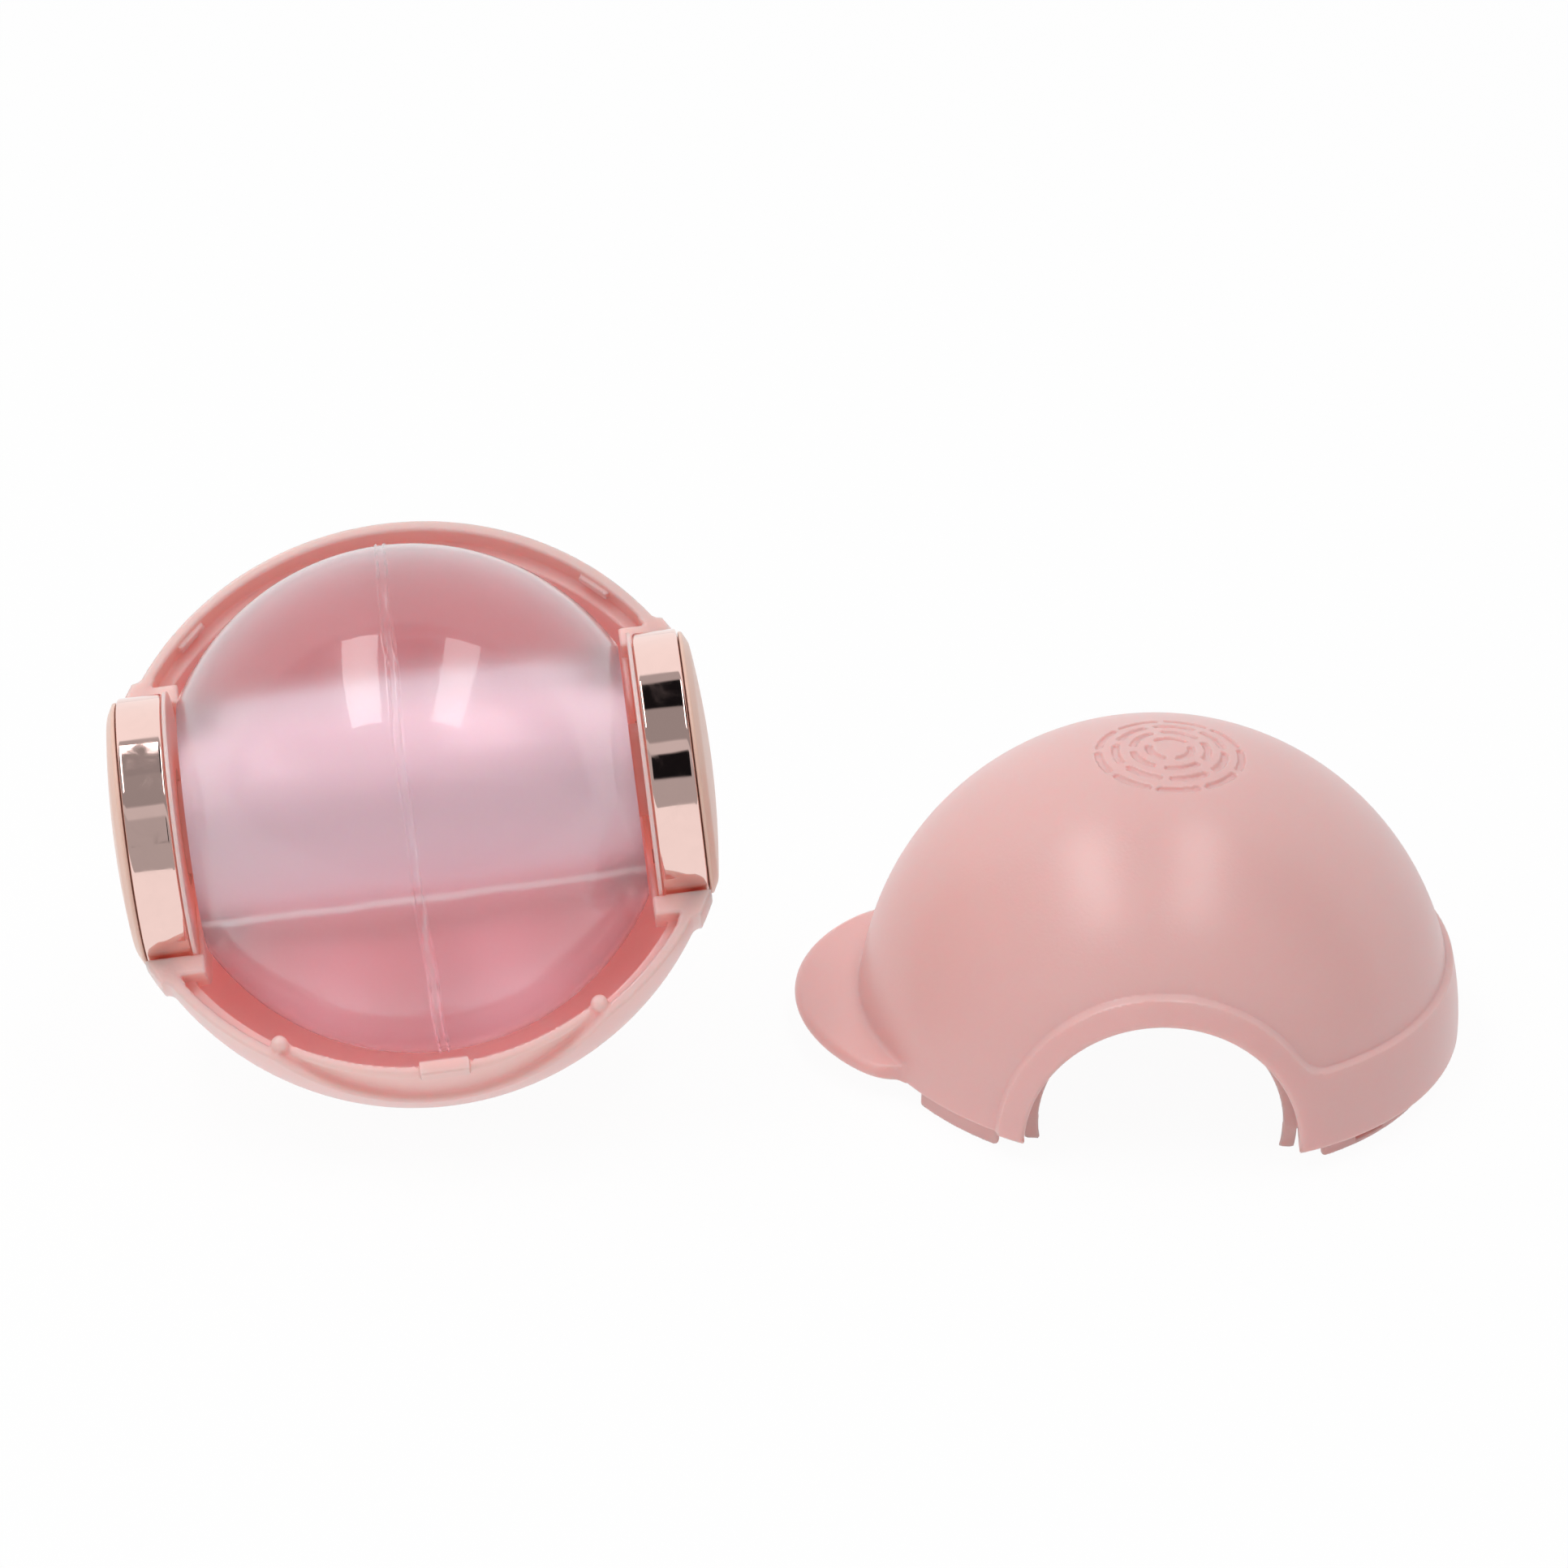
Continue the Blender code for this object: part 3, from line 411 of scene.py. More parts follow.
def ring_motif(g, x, y):
    """Depth share of broken rings about the cap's top, a plain ornament."""
    across = np.sqrt(x * x + y * y) + 1e-6
    turn = np.arctan2(y, x)
    nearest = np.full(np.broadcast(x, y).shape, 9.0, dtype=np.float32)
    for radius, count, filled, offset in MOTIF_RINGS:
        sector = 2.0 * pi / count
        local = np.abs(np.mod(turn + offset, sector) - sector / 2.0)
        past = np.maximum(local - filled * sector / 2.0, 0.0) * radius
        nearest = np.minimum(nearest, np.sqrt(np.square(across - radius) + past * past))
    return step_down(nearest - g.motif[1] / 2.0, 0.16)


def cap_field(g):
    """The cap: dome with belt, arches and motif, skirt, drum notches, tab and its stops."""
    reach, half_width, thickness = g.tab
    root = g.cap_inner
    rise = g.dome + reach - root
    skirt_end = FRONT_ANGLE + radians(3.0)
    middle = TAB_RAISE + thickness / 2.0

    def field(x, y, z):
        ax, ring, r, q = distances(x, y, z)
        sides = g.wall_inner - ax
        # Dome with the raised belt and arches and the engraved motif
        raised = join(common(q - g.arch, ARCH_START - ax), common(z - g.belt, -y), 2.4)
        outer = g.dome + g.band * step_down(raised, 0.22)
        outer = outer - g.motif[0] * (ring_motif(g, x, y) * (z > MOTIF_START))
        shell = meet(common(r - outer, g.cap_inner - r), -z, 0.4)
        # Skirt round the back, open at the front and at the drums
        skirt = meet(slab(ring, g.skirt_inner, g.skirt_outer), slab(z, -g.skirt_depth, 1.4), 0.35)
        skirt = meet(skirt, -(ax * cos(skirt_end) + y * sin(skirt_end)), 0.9)
        skirt = meet(skirt, g.notch + SEAT_WIDTH + 0.3 - np.abs(y), 0.9)
        shell = join(shell, skirt)
        # Wall, lip and notch at each drum
        seat = common(q - g.notch - SEAT_WIDTH / 2.0, sides, r - g.dome + 0.7, -z)
        shell = join(shell, seat, 0.4)
        lip = common(q - g.notch + 0.05, slab(ax, g.wall_inner, g.wall_outer), -g.skirt_depth - z)
        shell = join(shell, lip, 0.2)
        notch = meet(q - g.notch, g.wall_outer - ax, 0.2)
        shell = less(shell, notch, np.where(z > 0.5, 1.1, 0.3))
        shell = less(shell, common(q - g.drum + FLANGE_WIDTH, g.dome / 2.0 - ax))
        # Thumb tab: its outline in plan, then its thickness
        share = np.clip(1.0 - np.square(x / half_width), 1e-4, 1.0)
        edge = root + rise * share ** TAB_FULLNESS
        slope = rise * TAB_FULLNESS * share ** (TAB_FULLNESS - 1.0) * 2.0 * ax / half_width ** 2
        plan = (-y - edge) / np.sqrt(1.0 + slope * slope)
        tab = meet(plan, np.abs(z - middle) - thickness / 2.0, 1.1)
        shell = join(shell, common(tab, g.cap_inner + 1.05 - r, y, ax - half_width), 0.8)
        # Rounded stops under the tab and windows for the back catches
        along, out = beside(ax, -y, STOP_ANGLE)
        bulb = np.sqrt(np.square(along / 1.8) + np.square(out - g.skirt_outer - 0.5)
                       + np.square(z / 1.5)) - 1.0
        shell = join(shell, common(bulb, y), 0.4)
        along, out = beside(ax, y, BACK_ANGLE)
        window = block(along, out, z, BACK_CATCH_HALF + CATCH_PLAY,
                       (g.skirt_inner - 1.4, g.skirt_outer + 1.8),
                       (CATCH_BOTTOM - CATCH_PLAY, BACK_CATCH_TOP + CATCH_PLAY))
        return less(shell, common(window, -y), 0.15)

    return field


# From a field to a mesh


def sample(field, axes):
    """The field on a grid, some planes at a time to keep the memory small."""
    xs, ys, zs = axes
    planes = 24
    values = np.empty((len(xs), len(ys), len(zs)), dtype=np.float32)
    for first in range(0, len(xs), planes):
        part = slice(first, first + planes)
        x, y, z = np.meshgrid(xs[part], ys, zs, indexing="ij", sparse=True)
        values[part] = field(x, y, z)
    return values


def surface_net(field, low, high, step):
    """Corners and four-sided faces of the surface where the field is zero."""
    axes = [np.arange(low[k], high[k] + step, step, dtype=np.float32) for k in range(3)]
    values = sample(field, axes)
    inside = values < 0.0
    count = np.zeros([n - 1 for n in values.shape], dtype=np.int8)
    offsets = [(i, j, k) for i in (0, 1) for j in (0, 1) for k in (0, 1)]
    for i, j, k in offsets:
        count += inside[i:count.shape[0] + i, j:count.shape[1] + j, k:count.shape[2] + k]
    cells = np.argwhere((count > 0) & (count < 8))
    shift = np.array(offsets)
    corner = np.stack([values[tuple((cells + s).T)] for s in shift], axis=1)
    total = np.zeros((len(cells), 3))
    crossings = np.zeros(len(cells))
    for a in range(8):
        for b in range(a + 1, 8):
            if abs(shift[a] - shift[b]).sum() != 1:
                continue
            crossed = (corner[:, a] < 0.0) != (corner[:, b] < 0.0)
            gap = np.where(crossed, corner[:, a] - corner[:, b], 1.0)
            share = np.where(crossed, corner[:, a] / gap, 0.0)
            point = shift[a] + share[:, None] * (shift[b] - shift[a])
            total += point * crossed[:, None]
            crossings += crossed
    points = np.array(low) + step * (cells + total / crossings[:, None])
    index = np.full(count.shape, -1, dtype=np.int32)
    index[tuple(cells.T)] = np.arange(len(cells))
    faces = []
    for axis in range(3):
        u, v = (axis + 1) % 3, (axis + 2) % 3
        here = [slice(1, -1)] * 3
        here[axis] = slice(0, -1)
        after = list(here)
        after[axis] = slice(1, None)
        now, then = inside[tuple(here)], inside[tuple(after)]
        spots = np.argwhere(now != then)
        leaving = now[tuple(spots.T)]
        spots[:, u] += 1
        spots[:, v] += 1
        quad = []
        for du, dv in ((-1, -1), (0, -1), (0, 0), (-1, 0)):
            cell = spots.copy()
            cell[:, u] += du
            cell[:, v] += dv
            quad.append(index[tuple(cell.T)])
        quad = np.stack(quad, axis=1)
        quad[~leaving] = quad[~leaving][:, ::-1]
        faces.append(quad)
    return points, np.concatenate(faces)


def slope_of(field, points):
    """Direction in which the field grows at each point."""
    reach = 0.01
    grown = np.empty_like(points)
    for k in range(3):
        ahead, behind = points.copy(), points.copy()
        ahead[:, k] += reach
        behind[:, k] -= reach
        grown[:, k] = (field(*ahead.T) - field(*behind.T)) / (2.0 * reach)
    return grown


def settle(field, points, limit, rounds=3):
    """Pull the points on to the zero surface of the field."""
    for _ in range(rounds):
        slope = slope_of(field, points)
        steep = np.maximum(np.square(slope).sum(axis=1), 0.05)
        move = slope * (field(*points.T) / steep)[:, None]
        span = np.sqrt(np.square(move).sum(axis=1))
        points = points - move * np.minimum(1.0, limit / np.maximum(span, 1e-9))[:, None]
    return points


def mesh_from_arrays(name, points, faces):
    mesh = bpy.data.meshes.new(name)
    mesh.vertices.add(len(points))
    mesh.vertices.foreach_set("co", np.ascontiguousarray(points, dtype=np.float32).ravel())
    size = faces.shape[1]
    mesh.loops.add(faces.size)
    mesh.loops.foreach_set("vertex_index", np.ascontiguousarray(faces, dtype=np.int32).ravel())
    mesh.polygons.add(len(faces))
    mesh.polygons.foreach_set("loop_start", np.arange(0, faces.size, size, dtype=np.int32))
    mesh.update(calc_edges=True)
    mesh.validate()
    return mesh


def new_object(name, data):
    item = bpy.data.objects.new(name, data)
    bpy.context.scene.collection.objects.link(item)
    return item


def apply_modifiers(item):
    bpy.context.view_layer.update()
    graph = bpy.context.evaluated_depsgraph_get()
    item.data = bpy.data.meshes.new_from_object(item.evaluated_get(graph))
    item.modifiers.clear()


def thinned(name, mesh, triangles):
    """The mesh with fewer faces where it is smooth."""
    item = new_object(name, mesh)
    if 2 * len(mesh.polygons) > triangles:
        collapse = item.modifiers.new("Thin", "DECIMATE")
        collapse.ratio = triangles / (2.0 * len(mesh.polygons))
        apply_modifiers(item)
    return item


def moulded(name, field, low, high, place):
    """A moulded piece from its field, with the field's own directions as shading normals."""
    step = FINE_STEP
    points, faces = surface_net(field, low, high, step)
    points = settle(field, points, step / 2.0)
    item = thinned(name, mesh_from_arrays(name, points, faces), HALF_TRIANGLES)
    mesh = item.data
    found = np.empty(len(mesh.vertices) * 3, dtype=np.float32)
    mesh.vertices.foreach_get("co", found)
    points = settle(field, found.reshape(-1, 3).astype(np.float64), step / 3.0, 2)
    slope = slope_of(field, points)
    slope /= np.maximum(np.sqrt(np.square(slope).sum(axis=1)), 1e-9)[:, None]
    turn = np.array(place.to_3x3())
    world = points * MM @ turn.T + np.array(place.translation)
    mesh.vertices.foreach_set("co", world.astype(np.float32).ravel())
    mesh.update()
    mesh.shade_smooth()
    mesh.normals_split_custom_set_from_vertices(slope @ turn.T)
    return item


# Turned pieces


def rounded(outline, radius, steps=4):
    """A closed outline with each sharp corner replaced by a small arc."""
    result = []
    count = len(outline)
    for index, here in enumerate(outline):
        before, after = outline[index - 1], outline[(index + 1) % count]
        here, before, after = np.array(here), np.array(before), np.array(after)
        into, away = before - here, after - here
        size_in, size_out = np.linalg.norm(into), np.linalg.norm(away)
        bend = np.dot(into, away) / (size_in * size_out)
        # On the axis, or nearly straight on
        if here[0] < 1e-6 or bend < -0.985:
            result.append(tuple(here))
            continue
        trim = min(radius, size_in * 0.45, size_out * 0.45)
        start, stop = here + into / size_in * trim, here + away / size_out * trim
        for part in range(steps + 1):
            t = part / steps
            result.append(tuple((1 - t) ** 2 * start + 2 * t * (1 - t) * here + t * t * stop))
    return supported(result)


def supported(outline, margin=0.1):
    """Long straight runs get a point close to each end, so that they shade flat."""
    result = []
    for here, after in zip(outline, outline[1:] + outline[:1]):
        here, after = np.array(here), np.array(after)
        run = np.linalg.norm(after - here)
        result.append(tuple(here))
        if run > 8.0 * margin and min(here[0], after[0]) > 1e-6:
            step = (after - here) / run * margin
            result += [tuple(here + step), tuple(after - step)]
    return result


def turned(name, outline, side, place, steps, ripple=None):
    """Turn a closed (radius, station) outline in mm round the roller's axis."""
    points, faces, rings = [], [], []
    for radius, station in outline:
        if radius < 1e-6:
            rings.append([len(points)])
            points.append((side * station, 0.0, 0.0))
            continue
        ring = []
        for index in range(steps):
            angle = 2.0 * pi * index / steps
            out = radius + (ripple(angle, radius, station) if ripple else 0.0)
            ring.append(len(points))
            points.append((side * station, out * cos(angle), out * sin(angle)))
        rings.append(ring)
    for here, there in zip(rings, rings[1:] + rings[:1]):
        for index in range(steps):
            after = (index + 1) % steps
            corners = [here[index % len(here)], here[after % len(here)],
                       there[after % len(there)], there[index % len(there)]]
            unique = list(dict.fromkeys(corners))
            if len(unique) > 2:
                faces.append(unique)
    mesh = bpy.data.meshes.new(name)
    mesh.from_pydata([place @ Vector([part * MM for part in point]) for point in points], [], faces)
    # A negative volume means that the faces look inwards
    volume = 0.0
    for face in mesh.polygons:
        corners = [mesh.vertices[index].co for index in face.vertices]
        volume += sum(corners[0].cross(b).dot(c) for b, c in zip(corners[1:], corners[2:]))
    if volume < 0.0:
        mesh.flip_normals()
    mesh.shade_smooth()
    mesh.set_sharp_from_angle(angle=radians(27.0))
    return new_object(name, mesh)


def dress(item, material, body, slot, *nodes):
    """Paint a piece, hang it on its body and let it stand for its CAD nodes."""
    item.data.materials.clear()
    item.data.materials.append(bpy.data.materials[material])
    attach(item, body)
    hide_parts(*nodes)


def turned_pairs(body, pieces):
    """Turned pieces that both sides of one body have alike."""
    place = base_place()
    for word, side in SIDES:
        for name, outline, steps, material, slot, node in pieces:
            item = turned(f"{word}_{name}", outline, side, place, steps)
            dress(item, material, body, slot, f"{word}_{node}")


# Materials


def add(tree, kind, links=None, **settings):
    """One node with its settings; links maps an input to a value, a socket or a node.

    A node given as a value stands for its first output in use.
    """
    made = tree.nodes.new(kind)
    for key, value in settings.items():
        setattr(made, key, value)
    for key, value in (links or {}).items():
        if isinstance(value, bpy.types.Node):
            value = next(output for output in value.outputs if output.enabled)
        if isinstance(value, bpy.types.NodeSocket):
            tree.links.new(value, made.inputs[key])
        else:
            made.inputs[key].default_value = value
    return made


def new_material(name):
    """The empty node tree of a new material, with its Object coordinates."""
    made = bpy.data.materials.new(name)
    made.use_nodes = True
    tree = made.node_tree
    tree.nodes.clear()
    return tree, add(tree, "ShaderNodeTexCoord").outputs["Object"]


def ball_frame(tree, where, place):
    """Object coordinates in the ball frame, whose X axis is the roller's."""
    back = place.inverted()
    return add(tree, "ShaderNodeMapping", {
        "Vector": where, "Location": back.translation, "Rotation": back.to_euler()})


def mottled(tree, where, tint, share, noise, to_range, from_range=(0.0, 1.0)):
    """Clouds of a noise: a tone between a tint and a share of it, and the roughness."""
    cloud = add(tree, "ShaderNodeTexNoise", {"Vector": where, **noise})
    rough = add(tree, "ShaderNodeMapRange", {
        "Value": cloud, "From Min": from_range[0], "From Max": from_range[1],
        "To Min": to_range[0], "To Max": to_range[1]})
    tone = add(tree, "ShaderNodeMix", {"Factor": cloud, 6: rgba(tint), 7: rgba(tint, share)},
               data_type="RGBA")
    return {"Base Color": tone, "Roughness": rough}


def abs_pink(name, tint, depth, bowl=None):
    """Injection-moulded ABS, matt from a spark-eroded mould.

    The eye gets a soft broad highlight that breaks into fine grain, a slight glow
    where light enters thin walls, and faint flow marks in the roughness.  Inside the
    bowl a painted glow, a weak coral emission over a lighter copy of the tint,
    stands in for the light that comes through its wall.
    """
    tree, where = new_material(name)
    # Spark-eroded grain is about 0.1 mm; it is drawn at 0.4 mm so that it shows
    grain = add(tree, "ShaderNodeTexNoise", {"Vector": where, "Scale": 2400.0, "Detail": 1.0})
    look = mottled(tree, where, tint, 0.975, {"Scale": 55.0, "Detail": 3.0}, (0.285, 0.33),
                   (0.3, 0.7))
    bump = add(tree, "ShaderNodeBump", {"Height": grain, "Strength": 0.4, "Distance": 0.04 * MM})
    if bowl:
        place, inner, painted_light_tint = bowl
        # The painted glow fills the inside and ends within this much of the wall
        fade = 1.6 * MM
        radius = add(tree, "ShaderNodeVectorMath", {0: ball_frame(tree, where, place)},
                     operation="LENGTH")
        inside = add(tree, "ShaderNodeMapRange", {
            "Value": radius, "From Min": inner + fade, "From Max": inner})
        # Painted glow: inside the bowl the tone turns to a lighter copy and a weak coral emission
        # is added
        tone = add(tree, "ShaderNodeMix", {
            "Factor": inside, 6: look["Base Color"], 7: rgba(painted_light_tint)}, data_type="RGBA")
        power = add(tree, "ShaderNodeMath", {0: inside, 1: 0.12}, operation="MULTIPLY")
        look |= {"Base Color": tone, "Emission Color": rgba(hex_colour("FFA295")),
                 "Emission Strength": power}
    shader = add(tree, "ShaderNodeBsdfPrincipled", {
        **look, "Normal": bump, "IOR": ABS_IOR, "Subsurface Weight": 0.75,
        "Subsurface Radius": (1.0, 0.3, 0.25), "Subsurface Scale": depth})
    add(tree, "ShaderNodeOutputMaterial", {"Surface": shader})


def abs_peach(name, tint, place):
    """Satin ABS cover disc, moulded in a turned and lightly polished tool.

    The tool's turning leaves fine rings 0.35 mm apart that catch the light on the slope.
    """
    tree, where = new_material(name)
    ring_pitch = 0.35 * MM
    local = ball_frame(tree, where, place)
    radius = across_axis(tree, local)
    phase = add(tree, "ShaderNodeMath", {0: radius, 1: 2.0 * pi / ring_pitch}, operation="MULTIPLY")
    rings = add(tree, "ShaderNodeMath", {0: phase}, operation="SINE")
    bump = add(tree, "ShaderNodeBump", {"Height": rings, "Strength": 0.25, "Distance": 0.02 * MM})
    look = mottled(tree, local, tint, 0.97, {"Scale": 120.0, "Detail": 2.0}, (0.28, 0.36))
    shader = add(tree, "ShaderNodeBsdfPrincipled", {
        **look, "Normal": bump, "IOR": ABS_IOR, "Subsurface Weight": 0.1,
        "Subsurface Radius": (1.0, 0.5, 0.35), "Subsurface Scale": 1.2 * MM})
    add(tree, "ShaderNodeOutputMaterial", {"Surface": shader})


def across_axis(tree, local):
    """Distance from the roller's axis, from coordinates in the ball frame."""
    parts = add(tree, "ShaderNodeSeparateXYZ", {"Vector": local})
    flat = add(tree, "ShaderNodeCombineXYZ", {"Y": parts.outputs["Y"], "Z": parts.outputs["Z"]})
    return add(tree, "ShaderNodeVectorMath", {0: flat}, operation="LENGTH")


def rose_gold_plating(name, tint):
    """Electroplated ABS in rose gold: a mirror with faint finger smears.

    Moulded plastic under the plating is never quite flat, so straight reflections
    run a little wavy; smears of about 3 mm show as dull spots.
    """
    tree, where = new_material(name)
    smears = {"Scale": 330.0, "Detail": 4.0, "Distortion": 1.0}
    look = mottled(tree, where, tint, 0.95, smears, (0.03, 0.11), (0.45, 0.75))
    wave = add(tree, "ShaderNodeTexNoise", {"Vector": where, "Scale": 160.0, "Detail": 1.0})
    bump = add(tree, "ShaderNodeBump", {"Height": wave, "Strength": 0.12, "Distance": 0.4 * MM})
    shader = add(tree, "ShaderNodeBsdfPrincipled", {**look, "Metallic": 1.0, "Normal": bump})
    add(tree, "ShaderNodeOutputMaterial", {"Surface": shader})


def sticky_gel(name, tint, depth_tint, place, bore, half):
    """Cast polyurethane gel, clear and tinted, with a wet tacky skin.

    What lies inside looks enlarged and a little blurred, and pinker the deeper it lies;
    the skin gives sharp lamp reflections that waver where the gel was touched.
    """
    tree, where = new_material(name)
    touch = add(tree, "ShaderNodeTexNoise", {
        "Vector": where, "Scale": 190.0, "Detail": 3.0, "Distortion": 0.6})
    ripple = add(tree, "ShaderNodeBump", {"Height": touch, "Strength": 0.1, "Distance": 0.3 * MM})
    local = ball_frame(tree, where, place)
    radius = across_axis(tree, local)
    station = add(tree, "ShaderNodeSeparateXYZ", {"Vector": local})
    # The moulding seam is cloudy in places and wanders about the middle
    sway = 1.2 * MM
    wander = add(tree, "ShaderNodeMapRange", {"Value": touch, "To Min": -sway, "To Max": sway})
    aside = add(tree, "ShaderNodeMath", {0: station, 1: wander}, operation="ADD")
    far = add(tree, "ShaderNodeMath", {0: aside}, operation="ABSOLUTE")
    breaks = add(tree, "ShaderNodeTexNoise", {"Vector": local, "Scale": 130.0, "Detail": 2.0})
    cloudy = add(tree, "ShaderNodeMapRange", {
        "Value": breaks, "From Min": 0.4, "From Max": 0.6, "To Min": 0.9, "To Max": 0.7})
    clear = add(tree, "ShaderNodeMapRange", {
        "Value": far, "From Min": 0.1 * MM, "From Max": 0.4 * MM, "To Min": cloudy, "To Max": 0.91})
    # The cut ends are duller than the skin
    middle = add(tree, "ShaderNodeMath", {0: station}, operation="ABSOLUTE")
    rough = add(tree, "ShaderNodeMapRange", {
        "Value": middle, "From Min": half - 0.4 * MM, "From Max": half - 0.1 * MM,
        "To Min": 0.29, "To Max": 0.45})
    # A painted highlight: a pale line along the skin, level with the bore, stands in for the rim
    # reflection of the core's edge
    height = add(tree, "ShaderNodeVectorMath", {0: local, 1: PAINTED_LIGHT_UP}, operation="DOT_PRODUCT")
    drift = add(tree, "ShaderNodeMapRange", {
        "Value": breaks, "To Min": 11.8 * MM, "To Max": 12.4 * MM})
    level = add(tree, "ShaderNodeMath", {0: height, 1: drift}, operation="ADD")
    off = add(tree, "ShaderNodeMath", {0: level}, operation="ABSOLUTE")
    painted_light_line = add(tree, "ShaderNodeMapRange", {
        "Value": off, "From Min": 0.65 * MM, "From Max": 0.1 * MM, "To Max": 0.36})
    skin = add(tree, "ShaderNodeMapRange", {
        "Value": radius, "From Min": bore + 1.0 * MM, "From Max": bore + 3.0 * MM})
    # Painted highlight: along this line the gel turns less clear, so it shows pale
    flow = add(tree, "ShaderNodeMath", {0: painted_light_line, 1: skin}, operation="MULTIPLY")
    left = add(tree, "ShaderNodeMath", {0: clear, 1: flow}, operation="SUBTRACT", use_clamp=True)
    shader = add(tree, "ShaderNodeBsdfPrincipled", {
        "Base Color": rgba(tint), "Roughness": rough, "IOR": 1.42, "Transmission Weight": left,
        "Coat Weight": 0.9, "Coat Roughness": 0.02, "Coat IOR": 1.45, "Coat Normal": ripple})
    # Lamps shine through the gel instead of throwing a hard shadow into it
    lamps = add(tree, "ShaderNodeBsdfTransparent", {"Color": rgba([c ** 0.5 for c in tint])})
    path = add(tree, "ShaderNodeLightPath")
    both = add(tree, "ShaderNodeMixShader", {
        "Fac": path.outputs["Is Shadow Ray"], 1: shader, 2: lamps})
    deep = add(tree, "ShaderNodeVolumeAbsorption", {"Color": rgba(depth_tint), "Density": 8.5})
    add(tree, "ShaderNodeOutputMaterial", {"Surface": both, "Volume": deep})


def natural_acetal(name, tint):
    """Natural acetal bush as moulded, with a faint sheen of flow marks."""
    tree, where = new_material(name)
    look = mottled(tree, where, tint, 0.96, {"Scale": 220.0, "Detail": 3.0}, (0.31, 0.39))
    shader = add(tree, "ShaderNodeBsdfPrincipled", {
        **look, "Subsurface Weight": 0.1, "Subsurface Scale": 2.0 * MM})
    add(tree, "ShaderNodeOutputMaterial", {"Surface": shader})


def core_plastic(name, tint, place):
    """Pale core tube as extruded, quite matt, with faint clouds in its tone.

    Its lower side carries a painted glow: an emission that grows and turns pink
    towards the bowl, standing in for light that the gel scatters onto its shaded side.
    """
    tree, where = new_material(name)
    # Painted glow: its share and its pink grow down the core's lower side
    height = add(tree, "ShaderNodeVectorMath", {0: ball_frame(tree, where, place), 1: PAINTED_LIGHT_UP},
                 operation="DOT_PRODUCT")
    low = add(tree, "ShaderNodeMapRange", {
        "Value": height, "From Min": -1.0 * MM, "From Max": -10.0 * MM})
    painted_glow_hue = add(tree, "ShaderNodeMix", {
        "Factor": low, 6: rgba(hex_colour("FFEFF1")), 7: rgba(hex_colour("FFADB8"))},
              data_type="RGBA")
    power = add(tree, "ShaderNodeMapRange", {"Value": low, "To Min": 0.05, "To Max": 0.3})
    look = mottled(tree, where, tint, 0.95, {"Scale": 90.0, "Detail": 2.0}, (0.7, 0.7))
    shader = add(tree, "ShaderNodeBsdfPrincipled", {
        **look, "Subsurface Weight": 0.3, "Subsurface Scale": 1.0 * MM,
        "Emission Color": painted_glow_hue, "Emission Strength": power})
    add(tree, "ShaderNodeOutputMaterial", {"Surface": shader})


def zinc_steel(name, tint):
    """Zinc-plated steel screws and washers: grey metal with a mottled passivation."""
    tree, where = new_material(name)
    look = mottled(tree, where, tint, 0.85, {"Scale": 900.0, "Detail": 3.0}, (0.29, 0.42))
    shader = add(tree, "ShaderNodeBsdfPrincipled", {**look, "Metallic": 1.0})
    add(tree, "ShaderNodeOutputMaterial", {"Surface": shader})


def paper_floor(name, tint):
    """Matt white paper sweep: the camera and mirrors see it near white with a faint shadow."""
    tree, _ = new_material(name)
    paper = add(tree, "ShaderNodeBsdfDiffuse", {"Color": rgba(tint)})
    white = add(tree, "ShaderNodeEmission", {"Color": rgba(WHITE), "Strength": 1.0})
    path = add(tree, "ShaderNodeLightPath").outputs
    seen = add(tree, "ShaderNodeMath", {0: path["Is Camera Ray"], 1: path["Is Glossy Ray"]},
               operation="MAXIMUM")
    clear = add(tree, "ShaderNodeMath", {0: seen, 1: path["Is Transmission Ray"]},
                operation="MAXIMUM")
    share = add(tree, "ShaderNodeMapRange", {"Value": clear, "To Min": 0.2, "To Max": 0.95})
    both = add(tree, "ShaderNodeMixShader", {"Fac": share, 1: paper, 2: white})
    add(tree, "ShaderNodeOutputMaterial", {"Surface": both})


# Operators, one for each piece or group of like pieces


class LINTBALL_OT_finishes(bpy.types.Operator):
    """Make the materials of all pieces"""
    bl_idname = "lintball.finishes"
    bl_label = "Finishes"

    def execute(self, context):
        f, roller = context.scene.lint_finish, context.scene.lint_roller
        g, place = BallGauge(context.scene), base_place()
        # The cap and the lower half are one pink ABS in two copies; the lower half's lighter copy
        # is painted light
        abs_pink("moulded_pink_abs", f.shell, 0.004)
        abs_pink("moulded_pink_abs_bowl", f.rim, 0.01, (place, g.base_inner * MM, f.bowl))
        abs_peach("satin_peach_abs", f.disc, place)
        rose_gold_plating("rose_gold_plating", f.plating)
        sticky_gel("clear_sticky_gel", f.gel, f.gel_depth, place,
                   roller.core_radius + PRESS_GAP * MM, g.drum_inner * MM - roller.end_play)
        core_plastic("natural_core_plastic", f.core, place)
        natural_acetal("natural_acetal", f.bush)
        zinc_steel("zinc_plated_steel", f.zinc)
        paper_floor("white_paper", f.floor)
        return {"FINISHED"}


class LINTBALL_OT_base(bpy.types.Operator):
    """Mould the lower half of the case"""
    bl_idname = "lintball.base"
    bl_label = "Lower half"

    def execute(self, context):
        g = BallGauge(context.scene)
        reach = g.base + g.band + FIELD_ROOM
        item = moulded("base_moulding", base_field(g), (-reach, -reach, -reach),
                       (reach, reach, NUB_HEIGHT + 0.8), base_place())
        dress(item, "moulded_pink_abs_bowl", "base", "shell", "base_shell")
        return {"FINISHED"}


